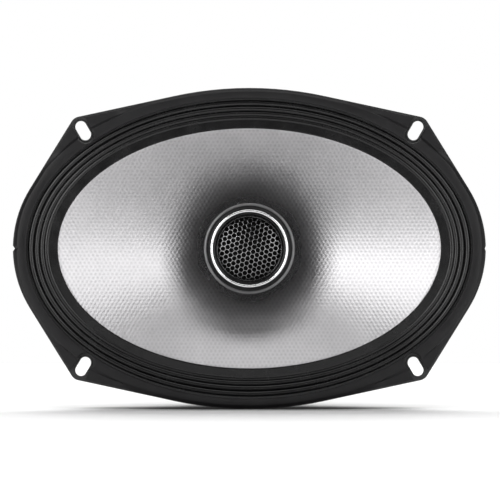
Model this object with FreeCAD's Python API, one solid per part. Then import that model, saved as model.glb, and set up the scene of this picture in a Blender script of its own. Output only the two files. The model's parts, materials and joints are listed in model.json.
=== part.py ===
"""Coaxial 6x9-inch oval car speaker, built as separate pieces in one shared frame.

Frame: the origin is the centre of the four-slot screw pattern, in the plane of the panel
that the speaker is screwed to.  +X runs along the long axis of the oval, +Z along the
short axis and +Y points rearwards, so the cone faces -Y.  Units are millimetres.
"""
import FreeCAD
import Part
import math
import os

from FreeCAD import Vector

# ---------------------------------------------------------------- driving dimensions
# Flange outline: an oval of tangent arcs with four screw ears.
FLANGE_HALF_X = 118.4
FLANGE_HALF_Z = 80.4
SIDE_ARC_R = 56.75
SIDE_LINE_TILT = 31.75         # degrees away from the Z axis
TOP_ARC_R = 177.0
TOP_LINE_TILT = 12.2           # degrees away from the X axis
EAR_R = 5.3

# Screw slots, one in each ear.
SLOT_X = 83.25
SLOT_Z = 59.05
SLOT_R = 2.875
SLOT_LENGTH = 10.25
SLOT_TILT = 60.0               # degrees from the X axis, towards the ear's tip

# Layers of the flange, front to rear.
TRIM_FRONT_Y = -5.0
EAR_TRIM_Y = -3.9
PLATE_FRONT_Y = -2.8
PLATE_REAR_Y = -1.6
SEAT_Y = 0.0
TRIM_INSET = 0.9
GASKET_INSET = 1.2

# Front trim ring.
TRIM_TOP_HALF = (116.2, 78.6)
TRIM_FOOT_HALF = (118.0, 80.05)
TRIM_INNER_HALF = (111.6, 75.15)
TRIM_POWER = 2.15              # exponent of the superellipse
SCALLOP_R = 4.3
SCALLOP_FLARE = 20.0           # degrees on each side
NOTCH_HALF = 1.5
NOTCH_DEPTH = 1.0

# Cone and surround.
CONE_EDGE_HALF = (96.25, 60.4)
CONE_RIM_WIDTH = 3.8
CONE_FRONT_Y = -2.2
CONE_THICK = 0.8
CONE_NECK_Y = 30.0
CONE_BOW = 0.93                # below 1 the cone is slightly trumpet shaped
CONE_STEPS = 7
SURROUND_OUTER_HALF = (111.2, 74.5)
SURROUND_THICK = 0.65
GLUE_GAP = 0.1
LIP_FRONT_Y = -2.95
# Each roll: start and end, as distance out from the cone's edge, and height.
ROLLS = ((4.5, 6.7, 0.9), (6.7, 9.0, 1.1), (9.0, 12.0, 1.9), (12.0, 14.9, 1.8))
SURROUND_GLUED_FROM = 10.9

# Basket.
STEEL = 1.2
BASKET_OPENING_HALF = (107.0, 71.3)
BASKET_WALL_Y = 9.0
SHELF_OUTER_R = 55.0
SHELF_INNER_R = 46.5
SHELF_REAR_Y = 36.0
MOTOR_SEAT_OUTER_R = 37.0
MOTOR_SEAT_INNER_R = 20.0
MOTOR_SEAT_REAR_Y = 46.0
WINDOW_OUTER_HALF = (101.5, 66.0)
WINDOW_INNER_R = 57.5
WINDOW_CORNER_R = 3.0
SPOKE_WIDTH = 11.0
SPOKE_ANGLES = (20, 62, 118, 160, 200, 242, 298, 340)
BEND = 2.5                     # how far from a corner of the wall its rounding starts

# Voice coil and spider.
COIL_BORE_R = 15.75
COIL_FORMER_R = 16.15
COIL_R = 16.75
FORMER_SPAN = (29.2, 56.8)
WINDING_SPAN = (43.0, 56.0)
SPIDER_OUTER_R = 51.0
SPIDER_PITCH = 5.0
SPIDER_WAVES = 5
SPIDER_HEIGHT = 1.3
SPIDER_THICK = 0.5

# Motor.
TOP_PLATE_R = 42.0
TOP_PLATE_BORE_R = 17.3
TOP_PLATE_THICK = 7.0
MAGNET_R = 45.0
MAGNET_BORE_R = 24.0
MAGNET_THICK = 15.6
BACK_PLATE_R = 42.0
BACK_PLATE_THICK = 6.0
POLE_R = 15.2
POLE_FRONT_Y = 45.0
POLE_BORE_R = 4.05
RECESS_R = 11.0
RECESS_DEPTH = 4.5
BOOT_THICK = 1.4
BOOT_LIP_R = 38.0
BOOT_CHANNEL_HALF = 1.9
SCREW_CIRCLE_R = 28.0
SCREW_R = 1.9
SCREW_HEAD_R = 3.6
SCREW_HEAD_H = 2.2
SCREW_HEAD_ROUND = 0.8
CROSS_REACH = 1.8
CROSS_HALF = 0.4

# Terminals on the lower side of the basket.
LUG_HALF_WIDTH = 8.0
LUG_OUTER_Z = -66.0
BOARD_HALF_WIDTH = 18.0
BOARD_Z = (-68.0, -58.0)
BOARD_THICK = 1.6
TAB_X = 12.0
TAB_Z = -62.5
TAB_THICK = 0.8
TAB_SPAN = (33.0, 47.5)
TAB_WIDTHS = {"positive": 6.3, "negative": 4.8}
TAB_TAIL_WIDTH = 3.0
RIVET_R = 1.5
RIVET_OFFSET = 4.5

# Tweeter, carried on a post that is bolted through the pole.
TWEETER_R = 22.8
TWEETER_FRONT_Y = -1.2
CHROME_OUTER_R = 19.7
CHROME_INNER_R = 18.1
CHROME_FACE_Y = -1.0
CHROME_REAR_Y = 4.6
GRILLE_R = 16.9
GRILLE_EDGE_Y = 3.2
GRILLE_RISE = 3.4
GRILLE_THICK = 0.6
GRILLE_PITCH = 2.5
GRILLE_HOLE = 2.05             # across the flats of each hexagonal hole
GRILLE_TURN = 19.5             # degrees that the rows of holes rise towards +X
GRILLE_BORDER = 1.9            # no hole's centre is nearer to the edge than this
HOUSING_FLOOR_Y = 16.4
PEDESTAL_R = 11.5
POST_HEAD_R = 6.0
POST_HEAD_H = 1.4
POST_R = 4.0
POST_BORE_R = 2.2
POST_REAR_Y = 74.2
DOME_R = 12.5
DOME_Y = 8.2
DOME_RISE = 4.0
DOME_THICK = 0.3
DOME_EDGE_R = 14.6             # outer radius of the dome's half-roll edge
DOME_EDGE_THICK = 0.25
DOME_COIL_SPAN = (10.2, 12.2)
TWEETER_FRAME_R = 17.8
TWEETER_YOKE_R = 14.8
TWEETER_YOKE_SPAN = (10.4, 16.2)
TWEETER_GAP_R = 13.2
POLE_PLATE_R = 11.9
POLE_PLATE_SPAN = (10.2, 12.0)
TWEETER_MAGNET_R = 11.2
TWEETER_MAGNET_REAR_Y = 14.8
DAMPING_PAD_R = 9.0
DAMPING_PAD_FRONT_Y = 9.0

# Washer and nut on the post, in the yoke's recess.
WASHER_R = 8.5
WASHER_THICK = 0.8
NUT_ACROSS_FLATS = 13.0
NUT_THICK = 2.8

# Internal leads and the tweeter's capacitor.
LEAD_R = 0.55
LEAD_OFFSET = 0.75             # each tweeter lead's distance from the post's middle
LEAD_BEND_R = 2.4
TINSEL_R = 0.8
LEG_R = 0.35
LEG_BEND_R = 2.5
CAPACITOR_R = 5.0
CAPACITOR_LENGTH = 18.0
CAPACITOR_X = -18.0
CAPACITOR_Z = -49.8
CAPACITOR_TILT = 18.0          # degrees that its inner end drops

Y_AXIS = Vector(0, 1, 0)
ORIGIN = Vector(0, 0, 0)

TOP_PLATE_REAR_Y = MOTOR_SEAT_REAR_Y + TOP_PLATE_THICK
MAGNET_REAR_Y = TOP_PLATE_REAR_Y + MAGNET_THICK
BACK_Y = MAGNET_REAR_Y + BACK_PLATE_THICK
CAPACITOR_Y = SHELF_REAR_Y + CAPACITOR_R + 0.2


# ---------------------------------------------------------------- geometry helpers
def along_y(shape_face, start, end):
    """Extrude a face that lies at y = start back to y = end."""
    return shape_face.extrude(Vector(0, end - start, 0))


def disc(radius, start, end, x=0.0, z=0.0):
    """Solid cylinder along Y."""
    return Part.makeCylinder(radius, end - start, Vector(x, start, z), Y_AXIS)


def tube(outer, inner, start, end):
    """Hollow cylinder along Y."""
    return disc(outer, start, end).cut(disc(inner, start - 1, end + 1))


def box(x0, x1, y0, y1, z0, z1):
    """Axis-aligned block between two corners."""
    return Part.makeBox(x1 - x0, y1 - y0, z1 - z0, Vector(x0, y0, z0))


def revolve(points):
    """Turn a closed outline of (radius, y) points about the Y axis."""
    corners = [Vector(r, y, 0) for r, y in points]
    wire = Part.makePolygon(corners + corners[:1])
    return Part.Face(wire).revolve(ORIGIN, Y_AXIS, 360)


def oval_wire(half_x, half_z, y):
    """Ellipse, or circle where both halves are equal, in the plane at y."""
    centre = Vector(0, y, 0)
    if abs(half_x - half_z) < 1e-6:
        curve = Part.Circle(centre, Y_AXIS, half_x)
    else:
        curve = Part.Ellipse(Vector(half_x, y, 0), Vector(0, y, -half_z), centre)
    return Part.Wire([curve.toShape()])


def oval_solid(sections):
    """Closed ring-shaped solid through a loop of (half_x, half_z, y) ovals."""
    faces = []
    for here, after in zip(sections, sections[1:] + sections[:1]):
        wires = [oval_wire(*here), oval_wire(*after)]
        if abs(here[2] - after[2]) < 1e-6:
            faces += Part.makeFace(wires, "Part::FaceMakerBullseye").Faces
        else:
            faces += Part.makeLoft(wires, False, True).Faces
    shell = Part.Shell(faces)
    shell.sewShape()
    solid = Part.Solid(Part.Shell(shell.Faces))
    if solid.Volume < 0:
        solid.reverse()
    return solid


def rounded(sections, reach, steps=4):
    """Replace the inner corners of an open run of ovals by smooth bends."""
    smooth = [sections[0]]
    for before, corner, after in zip(sections, sections[1:], sections[2:]):
        start = towards(corner, before, reach)
        end = towards(corner, after, reach)
        for i in range(steps + 1):
            t = i / steps
            weights = ((1 - t) ** 2, 2 * t * (1 - t), t ** 2)
            ovals = zip(start, corner, end)
            smooth.append(tuple(sum(w * v for w, v in zip(weights, oval)) for oval in ovals))
    return smooth + [sections[-1]]


def towards(corner, other, reach):
    """Oval a set distance from one oval towards another."""
    length = math.dist((corner[0], corner[2]), (other[0], other[2]))
    share = min(reach / length, 0.45)
    return tuple(c + (o - c) * share for c, o in zip(corner, other))


def superellipse_wire(half_x, half_z, power, y, steps=96):
    """Oval that is fuller at the shoulders than an ellipse."""
    points = []
    for i in range(steps):
        angle = 2 * math.pi * i / steps
        c, s = math.cos(angle), math.sin(angle)
        x = half_x * math.copysign(abs(c) ** (2 / power), c)
        z = half_z * math.copysign(abs(s) ** (2 / power), s)
        points.append(Vector(x, y, z))
    curve = Part.BSplineCurve()
    curve.interpolate(points, PeriodicFlag=True)
    return Part.Wire([curve.toShape()])


def line_meeting(normal_a, reach_a, normal_b, reach_b):
    """Point where two lines, each given by its unit normal and distance, meet."""
    det = normal_a[0] * normal_b[1] - normal_a[1] * normal_b[0]
    x = (reach_a * normal_b[1] - normal_a[1] * reach_b) / det
    z = (normal_a[0] * reach_b - reach_a * normal_b[0]) / det
    return x, z


def flange_outline(inset, y):
    """Outer edge of the flange, moved inwards by inset: arcs joined by tangent lines."""
    side = (math.cos(math.radians(SIDE_LINE_TILT)), math.sin(math.radians(SIDE_LINE_TILT)))
    top = (math.sin(math.radians(TOP_LINE_TILT)), math.cos(math.radians(TOP_LINE_TILT)))
    side_r = SIDE_ARC_R - inset
    top_r = TOP_ARC_R - inset
    ear_r = EAR_R - inset
    side_centre = FLANGE_HALF_X - SIDE_ARC_R
    top_centre = FLANGE_HALF_Z - TOP_ARC_R
    side_reach = side[0] * side_centre + SIDE_ARC_R - EAR_R
    top_reach = top[1] * top_centre + TOP_ARC_R - EAR_R
    ear_x, ear_z = line_meeting(side, side_reach, top, top_reach)
    middle = ((side[0] + top[0]), (side[1] + top[1]))
    length = math.hypot(*middle)

    quarter = [
        (side_centre + side_r, 0.0),
        (side_centre + side_r * side[0], side_r * side[1]),
        (ear_x + ear_r * side[0], ear_z + ear_r * side[1]),
        (ear_x + ear_r * middle[0] / length, ear_z + ear_r * middle[1] / length),
        (ear_x + ear_r * top[0], ear_z + ear_r * top[1]),
        (top_r * top[0], top_centre + top_r * top[1]),
        (0.0, top_centre + top_r),
    ]

    def at(index, sx, sz):
        return Vector(sx * quarter[index][0], y, sz * quarter[index][1])

    edges = []
    for sx, sz in ((1, 1), (-1, 1), (-1, -1), (1, -1)):
        edges.append(Part.LineSegment(at(1, sx, sz), at(2, sx, sz)))
        edges.append(Part.Arc(at(2, sx, sz), at(3, sx, sz), at(4, sx, sz)))
        edges.append(Part.LineSegment(at(4, sx, sz), at(5, sx, sz)))
    for sign in (1, -1):
        edges.append(Part.Arc(at(1, sign, 1), at(0, sign, 1), at(1, sign, -1)))
        edges.append(Part.Arc(at(5, 1, sign), at(6, 1, sign), at(5, -1, sign)))
    shapes = [edge.toShape() for edge in edges]
    return Part.Wire(Part.__sortEdges__(shapes))


def ear_signs():
    """Signs of x and z for the four ears."""
    return ((1, 1), (-1, 1), (-1, -1), (1, -1))


def in_ear(shape, sx, sz):
    """Turn a shape drawn along +X about the origin into place at one slot."""
    angle = math.degrees(math.atan2(sz * math.sin(math.radians(SLOT_TILT)),
                                    sx * math.cos(math.radians(SLOT_TILT))))
    placed = shape.copy()
    placed.rotate(ORIGIN, Y_AXIS, -angle)
    placed.translate(Vector(sx * SLOT_X, 0, sz * SLOT_Z))
    return placed


def slot_cutter(start, end):
    """One slot, drawn along +X."""
    reach = SLOT_LENGTH / 2 - SLOT_R
    body = box(-reach, reach, start, end, -SLOT_R, SLOT_R)
    return body.fuse([disc(SLOT_R, start, end, -reach), disc(SLOT_R, start, end, reach)])


def cut_slots(shape, start, end):
    """Cut the four screw slots through a shape."""
    cutter = slot_cutter(start, end)
    return shape.cut([in_ear(cutter, sx, sz) for sx, sz in ear_signs()])


def scallop_cutter(start, end):
    """Screw-head recess, drawn along +X: round at its inner end and flaring outwards."""
    inner = -(SLOT_LENGTH / 2 - SLOT_R)
    flare = math.radians(SCALLOP_FLARE)
    edge_x = inner - SCALLOP_R * math.sin(flare)
    edge_z = SCALLOP_R * math.cos(flare)
    reach = 14.0
    far_z = edge_z + (reach - edge_x) * math.tan(flare)
    corners = [(edge_x, -edge_z), (reach, -far_z), (reach, far_z), (edge_x, edge_z)]
    points = [Vector(x, start, z) for x, z in corners]
    wedge = along_y(Part.Face(Part.makePolygon(points + points[:1])), start, end)
    return wedge.fuse(disc(SCALLOP_R, start, end, inner)).removeSplitter()


def arc_route(points, limit=None):
    """Straight runs joined by tangent arcs, and the arcs' radii."""
    edges = []
    radii = []
    here = points[0]
    for before, corner, after in zip(points, points[1:], points[2:]):
        into = (corner - before).normalize()
        out = (after - corner).normalize()
        turn = into.getAngle(out)
        run = min(corner.distanceToPoint(before), corner.distanceToPoint(after))
        tangent = 0.45 * run
        if limit:
            tangent = min(tangent, limit * math.tan(turn / 2))
        radius = tangent / math.tan(turn / 2)
        start = corner - into * tangent
        end = corner + out * tangent
        bisector = (out - into).normalize()
        centre = corner + bisector * (radius / math.cos(turn / 2))
        middle = centre - bisector * radius
        edges.append(Part.LineSegment(here, start).toShape())
        edges.append(Part.Arc(start, middle, end).toShape())
        radii.append(radius)
        here = end
    edges.append(Part.LineSegment(here, points[-1]).toShape())
    return Part.Wire(edges), radii


def lead(points, radius, limit=None):
    """Round lead along a route; prints its arcs' radii and checks its volume."""
    route, radii = arc_route(points, limit)
    into = (points[1] - points[0]).normalize()
    section = Part.Wire([Part.Circle(points[0], into, radius).toShape()])
    solid = route.makePipeShell([section], True, False)
    expected = math.pi * radius ** 2 * route.Length
    print("lead length %.1f volume ratio %.4f radii %s"
          % (route.Length, solid.Volume / expected, ["%.1f" % r for r in radii]))
    return solid


# ---------------------------------------------------------------- flange and trim
def end_notches(start, end):
    """Small alignment notches at the two ends of the oval."""
    cutters = []
    for sign, depth in ((-1, NOTCH_DEPTH), (1, NOTCH_DEPTH / 2)):
        tip = sign * (FLANGE_HALF_X - depth)
        mouth = sign * (FLANGE_HALF_X + 1.0)
        half = NOTCH_HALF * (1.0 + depth) / depth
        corners = [Vector(tip, start, 0), Vector(mouth, start, half), Vector(mouth, start, -half)]
        cutters.append(along_y(Part.Face(Part.makePolygon(corners + corners[:1])), start, end))
    return cutters


def front_trim_ring():
    """Moulded ring that clamps the surround and covers the basket's flange."""
    top = superellipse_wire(*TRIM_TOP_HALF, TRIM_POWER, TRIM_FRONT_Y)
    foot = superellipse_wire(*TRIM_FOOT_HALF, TRIM_POWER, PLATE_FRONT_Y)
    oval = Part.makeLoft([top, foot], True, True)
    ear_outline = Part.Face(flange_outline(TRIM_INSET, PLATE_FRONT_Y))
    ears = along_y(ear_outline, PLATE_FRONT_Y, EAR_TRIM_Y)
    limit_outline = Part.Face(flange_outline(TRIM_INSET / 3, PLATE_FRONT_Y))
    limit = along_y(limit_outline, PLATE_FRONT_Y, TRIM_FRONT_Y - 1)
    ring = oval.common(limit).fuse(ears)
    opening = Part.Face(oval_wire(*TRIM_INNER_HALF, TRIM_FRONT_Y - 1))
    ring = ring.cut(along_y(opening, TRIM_FRONT_Y - 1, PLATE_REAR_Y))
    scallop = scallop_cutter(TRIM_FRONT_Y - 1, PLATE_REAR_Y)
    ring = ring.cut([in_ear(scallop, sx, sz) for sx, sz in ear_signs()])
    return ring.cut(end_notches(TRIM_FRONT_Y - 1, PLATE_REAR_Y))


def panel_gasket():
    """Foam strip between the flange and the panel."""
    sheet = along_y(Part.Face(flange_outline(GASKET_INSET, PLATE_REAR_Y)), PLATE_REAR_Y, SEAT_Y)
    half_x = BASKET_OPENING_HALF[0] + STEEL + 0.8
    half_z = BASKET_OPENING_HALF[1] + STEEL + 0.8
    opening = Part.Face(oval_wire(half_x, half_z, PLATE_REAR_Y - 1))
    sheet = sheet.cut(along_y(opening, PLATE_REAR_Y - 1, SEAT_Y + 1))
    return cut_slots(sheet, PLATE_REAR_Y - 1, SEAT_Y + 1)


# ---------------------------------------------------------------- basket
def basket_shell():
    """Pressed wall from the flange down to the motor seat."""
    half_x, half_z = BASKET_OPENING_HALF
    outer = [
        (half_x + STEEL, half_z + STEEL, PLATE_REAR_Y - 0.1),
        (half_x + 0.4, half_z + 0.4, BASKET_WALL_Y),
        (SHELF_OUTER_R, SHELF_OUTER_R, SHELF_REAR_Y),
        (SHELF_INNER_R, SHELF_INNER_R, SHELF_REAR_Y),
        (MOTOR_SEAT_OUTER_R, MOTOR_SEAT_OUTER_R, MOTOR_SEAT_REAR_Y),
        (MOTOR_SEAT_INNER_R, MOTOR_SEAT_INNER_R, MOTOR_SEAT_REAR_Y),
    ]
    outer = rounded(outer, BEND)
    inner = [(MOTOR_SEAT_INNER_R, MOTOR_SEAT_INNER_R, MOTOR_SEAT_REAR_Y - STEEL)]
    for a, b, y in reversed(outer[1:-1]):
        inner.append((a - STEEL, b - STEEL, y - STEEL))
    inner.append((half_x, half_z, PLATE_REAR_Y - 0.1))
    return oval_solid(outer + inner)


def basket_windows():
    """Cutters for the openings between the spokes."""
    start = 6.0
    end = SHELF_REAR_Y + 1
    region = Part.Face(oval_wire(*WINDOW_OUTER_HALF, start))
    region = along_y(region, start, end)
    region = region.cut(disc(WINDOW_INNER_R, start - 1, end + 1))
    reach = 130.0
    spokes = []
    for angle in SPOKE_ANGLES:
        spoke = box(0, reach, start - 1, end + 1, -SPOKE_WIDTH / 2, SPOKE_WIDTH / 2)
        spoke.rotate(ORIGIN, Y_AXIS, -angle)
        spokes.append(spoke)
    region = region.cut(spokes)
    windows = []
    for window in region.Solids:
        upright = []
        for edge in window.Edges:
            ends = [vertex.Point for vertex in edge.Vertexes]
            if len(ends) == 2 and abs(abs(ends[0].y - ends[1].y) - (end - start)) < 1e-3:
                upright.append(edge)
        windows.append(window.makeFillet(WINDOW_CORNER_R, upright))
    return windows


def basket():
    """Stamped steel basket with ears, spokes, spider shelf and motor seat."""
    plate = along_y(Part.Face(flange_outline(0.0, PLATE_FRONT_Y)), PLATE_FRONT_Y, PLATE_REAR_Y)
    opening = Part.Face(oval_wire(*BASKET_OPENING_HALF, PLATE_FRONT_Y - 1))
    plate = plate.cut(along_y(opening, PLATE_FRONT_Y - 1, SEAT_Y))
    plate = cut_slots(plate, PLATE_FRONT_Y - 1, SEAT_Y)
    plate = plate.cut(end_notches(PLATE_FRONT_Y - 1, SEAT_Y))
    shell = basket_shell().cut(basket_windows())
    lug = box(-LUG_HALF_WIDTH, LUG_HALF_WIDTH, SHELF_REAR_Y - STEEL, SHELF_REAR_Y,
              LUG_OUTER_Z, -SHELF_INNER_R - 3)
    body = plate.fuse([shell, lug])
    holes = [disc(SCREW_R + 0.1, 40, 50, *screw_place(i)) for i in range(4)]
    holes.append(disc(RIVET_R, 30, 40, -RIVET_OFFSET, TAB_Z))
    holes.append(disc(RIVET_R, 30, 40, RIVET_OFFSET, TAB_Z))
    return body.cut(holes)


# ---------------------------------------------------------------- moving parts
def between(outer_share, y):
    """Oval at a share of the way from the coil to the cone's visible edge."""
    half_x = COIL_FORMER_R + (CONE_EDGE_HALF[0] - COIL_FORMER_R) * outer_share
    half_z = COIL_FORMER_R + (CONE_EDGE_HALF[1] - COIL_FORMER_R) * outer_share
    return half_x, half_z, y


def cone_height(share):
    """Front face of the cone at a share of the way out from the coil."""
    return CONE_NECK_Y + (CONE_FRONT_Y - CONE_NECK_Y) * share ** CONE_BOW


def cone():
    """Oval diaphragm with a flat rim outside and a round neck on the coil former."""
    rim = (CONE_EDGE_HALF[0] + CONE_RIM_WIDTH, CONE_EDGE_HALF[1] + CONE_RIM_WIDTH)
    shares = [i / CONE_STEPS for i in range(CONE_STEPS + 1)]
    front = [between(share, cone_height(share)) for share in reversed(shares)]
    rear = [between(share, cone_height(share) + CONE_THICK) for share in shares]
    front = [(rim[0], rim[1], CONE_FRONT_Y)] + front
    rear = rear + [(rim[0], rim[1], CONE_FRONT_Y + CONE_THICK)]
    return oval_solid(front + rear)


def roll_profile(distance):
    """Front face of the surround at a distance out from the cone's visible edge."""
    for start, end, height in ROLLS:
        if start <= distance <= end:
            return LIP_FRONT_Y - height * math.sin(math.pi * (distance - start) / (end - start))
    return LIP_FRONT_Y


def cone_surround():
    """Rubber edge with several concentric rolls between the cone and the basket."""
    width = SURROUND_OUTER_HALF[0] - CONE_EDGE_HALF[0]
    squeeze = (SURROUND_OUTER_HALF[1] - CONE_EDGE_HALF[1]) / width
    stations = [0.0]
    for start, end, _ in ROLLS:
        stations += [start + (end - start) * share for share in (0.0, 0.2, 0.5, 0.8)]
    stations.append(ROLLS[-1][1])

    def oval(distance, y):
        return (CONE_EDGE_HALF[0] + distance, CONE_EDGE_HALF[1] + distance * squeeze, y)

    front = [oval(d, roll_profile(d)) for d in stations]
    rear = []
    for d in reversed(stations):
        glued = d >= SURROUND_GLUED_FROM
        depth = PLATE_FRONT_Y if glued else roll_profile(d) + SURROUND_THICK
        rear.append(oval(d, depth))
    return oval_solid(front + rear)


def coil_former():
    """Thin tube that carries the winding and drives the cone."""
    return tube(COIL_FORMER_R, COIL_BORE_R, *FORMER_SPAN)


def coil_winding():
    """Copper winding on the rear end of the former."""
    return tube(COIL_R, COIL_FORMER_R, *WINDING_SPAN)


def spider():
    """Corrugated centring disc between the coil former and the basket's shelf."""
    landing_y = SHELF_REAR_Y - STEEL - SPIDER_THICK
    inner = COIL_FORMER_R + GLUE_GAP
    start = 20.0
    end = start + SPIDER_PITCH * SPIDER_WAVES
    steps = 8
    profile = [(inner, landing_y)]
    for i in range(SPIDER_WAVES * steps + 1):
        r = start + (end - start) * i / (SPIDER_WAVES * steps)
        wave = SPIDER_HEIGHT * math.sin(2 * math.pi * (r - start) / SPIDER_PITCH)
        profile.append((r, landing_y + wave))
    profile.append((SPIDER_OUTER_R, landing_y))
    back = [(r, y + SPIDER_THICK) for r, y in reversed(profile)]
    return revolve(profile + back)


# ---------------------------------------------------------------- motor
def screw_place(index):
    """Centre of one of the four screws that hold the basket to the motor."""
    angle = math.radians(45 + 90 * index)
    return SCREW_CIRCLE_R * math.cos(angle), SCREW_CIRCLE_R * math.sin(angle)


def top_plate():
    """Steel ring in front of the magnet, with the voice-coil gap at its bore."""
    ring = tube(TOP_PLATE_R, TOP_PLATE_BORE_R, MOTOR_SEAT_REAR_Y, TOP_PLATE_REAR_Y)
    holes = []
    for i in range(4):
        x, z = screw_place(i)
        holes.append(disc(SCREW_R, MOTOR_SEAT_REAR_Y - 1, TOP_PLATE_REAR_Y + 1, x, z))
    return ring.cut(holes)


def motor_screws():
    """Four screws, each its own solid, that clamp the basket to the top plate."""
    screws = []
    seat = MOTOR_SEAT_REAR_Y - STEEL
    for i in range(4):
        x, z = screw_place(i)
        head = disc(SCREW_HEAD_R, seat - SCREW_HEAD_H, seat, x, z)
        head = head.makeFillet(SCREW_HEAD_ROUND, front_edges(head, seat - SCREW_HEAD_H))
        shank = disc(SCREW_R, seat - 0.5, TOP_PLATE_REAR_Y - 0.6, x, z)
        above = seat - SCREW_HEAD_H - 1
        cross = []
        for half_x, half_z in ((CROSS_REACH, CROSS_HALF), (CROSS_HALF, CROSS_REACH)):
            cross.append(box(x - half_x, x + half_x, above, seat - 1.0, z - half_z, z + half_z))
        screws.append(head.fuse(shank).cut(cross))
    return Part.makeCompound(screws)


def front_edges(shape, y):
    """A shape's circular edges that lie in the plane at y."""
    found = []
    for edge in shape.Edges:
        flat = edge.BoundBox.YLength < 1e-6
        if flat and abs(edge.BoundBox.YMin - y) < 1e-6:
            found.append(edge)
    return found


def ferrite_magnet():
    """Ring magnet between the top plate and the yoke."""
    return tube(MAGNET_R, MAGNET_BORE_R, TOP_PLATE_REAR_Y, MAGNET_REAR_Y)


def yoke():
    """Back plate and pole in one piece, bored for the tweeter post."""
    outline = [
        (POLE_BORE_R, POLE_FRONT_Y), (POLE_R - 0.6, POLE_FRONT_Y), (POLE_R, POLE_FRONT_Y + 0.6),
        (POLE_R, MAGNET_REAR_Y - 3.0), (POLE_R + 3.0, MAGNET_REAR_Y),
        (BACK_PLATE_R, MAGNET_REAR_Y), (BACK_PLATE_R, BACK_Y - 1.0), (BACK_PLATE_R - 1.0, BACK_Y),
        (RECESS_R, BACK_Y), (RECESS_R, BACK_Y - RECESS_DEPTH), (POLE_BORE_R, BACK_Y - RECESS_DEPTH),
    ]
    return revolve(outline)


def magnet_boot():
    """Rubber band around the magnet, with a rear lip and a channel for the tweeter leads."""
    front = TOP_PLATE_REAR_Y - 1.0
    outer = MAGNET_R + BOOT_THICK
    outline = [
        (MAGNET_R, front), (outer - 0.5, front), (outer, front + 0.5), (outer, BACK_Y + 0.5),
        (outer - 0.7, BACK_Y + BOOT_THICK - 0.2), (BOOT_LIP_R, BACK_Y + BOOT_THICK - 0.2),
        (BOOT_LIP_R, BACK_Y), (MAGNET_R, BACK_Y),
    ]
    channel = box(-BOOT_CHANNEL_HALF, BOOT_CHANNEL_HALF, front - 1, BACK_Y + 5,
                  -outer - 1, -BOOT_LIP_R + 2)
    return revolve(outline).cut(channel)


# ---------------------------------------------------------------- terminals and leads
def terminal_board():
    """Insulating strip riveted to the basket's lug."""
    start = SHELF_REAR_Y
    end = start + BOARD_THICK
    board = box(-BOARD_HALF_WIDTH, BOARD_HALF_WIDTH, start, end, BOARD_Z[0], BOARD_Z[1])
    uprights = [e for e in board.Edges if abs(e.BoundBox.YLength - BOARD_THICK) < 1e-6]
    board = board.makeFillet(1.5, uprights)
    cutters = []
    for sign, name in ((-1, "positive"), (1, "negative")):
        x = sign * TAB_X
        half = TAB_TAIL_WIDTH / 2
        cutters.append(box(x - half, x + half, start - 1, end + 1,
                           TAB_Z - TAB_THICK / 2, TAB_Z + TAB_THICK / 2))
        cutters.append(disc(RIVET_R, start - 1, end + 1, sign * RIVET_OFFSET, TAB_Z))
    return board.cut(cutters)


def spade_tab(x, width):
    """Flat spade terminal: blade behind the board, narrow solder tail in front of it."""
    blade_y = SHELF_REAR_Y + BOARD_THICK
    half = width / 2
    tail = TAB_TAIL_WIDTH / 2
    outline = [
        (x - tail, TAB_SPAN[0]), (x + tail, TAB_SPAN[0]), (x + tail, blade_y), (x + half, blade_y),
        (x + half, TAB_SPAN[1] - 1.2), (x + half - 1.2, TAB_SPAN[1]),
        (x - half + 1.2, TAB_SPAN[1]), (x - half, TAB_SPAN[1] - 1.2), (x - half, blade_y),
        (x - tail, blade_y),
    ]
    points = [Vector(px, py, TAB_Z - TAB_THICK / 2) for px, py in outline]
    blade = Part.Face(Part.makePolygon(points + points[:1])).extrude(Vector(0, 0, TAB_THICK))
    hole = Part.makeCylinder(0.8, 4, Vector(x, TAB_SPAN[1] - 4.0, TAB_Z - 2), Vector(0, 0, 1))
    return blade.cut(hole)


def terminal_rivets():
    """Two tubular rivets, each its own solid, through the board and the lug."""
    rivets = []
    front = SHELF_REAR_Y - STEEL
    rear = SHELF_REAR_Y + BOARD_THICK
    for sign in (-1, 1):
        x = sign * RIVET_OFFSET
        shank = disc(RIVET_R, front - 0.4, rear + 0.4, x, TAB_Z)
        heads = [disc(RIVET_R + 1.0, front - 0.8, front, x, TAB_Z),
                 disc(RIVET_R + 1.0, rear, rear + 0.8, x, TAB_Z)]
        rivets.append(shank.fuse(heads).cut(disc(0.8, front - 2, rear + 2, x, TAB_Z)))
    return Part.makeCompound(rivets)


def tinsel_lead(sign):
    """Braided lead from a terminal's solder tail to the coil former."""
    x = sign * TAB_X
    route = [
        Vector(x, 32.6, TAB_Z), Vector(x, 28.0, TAB_Z + 2.0), Vector(x - sign * 1.0, 23.5, -53.0),
        Vector(x - sign * 3.0, 22.5, -43.0), Vector(x - sign * 6.0, 26.5, -32.0),
        Vector(x - sign * 9.5, 31.0, -24.0), Vector(x - sign * 10.5, 32.3, -17.1),
    ]
    return lead(route, TINSEL_R)


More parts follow.
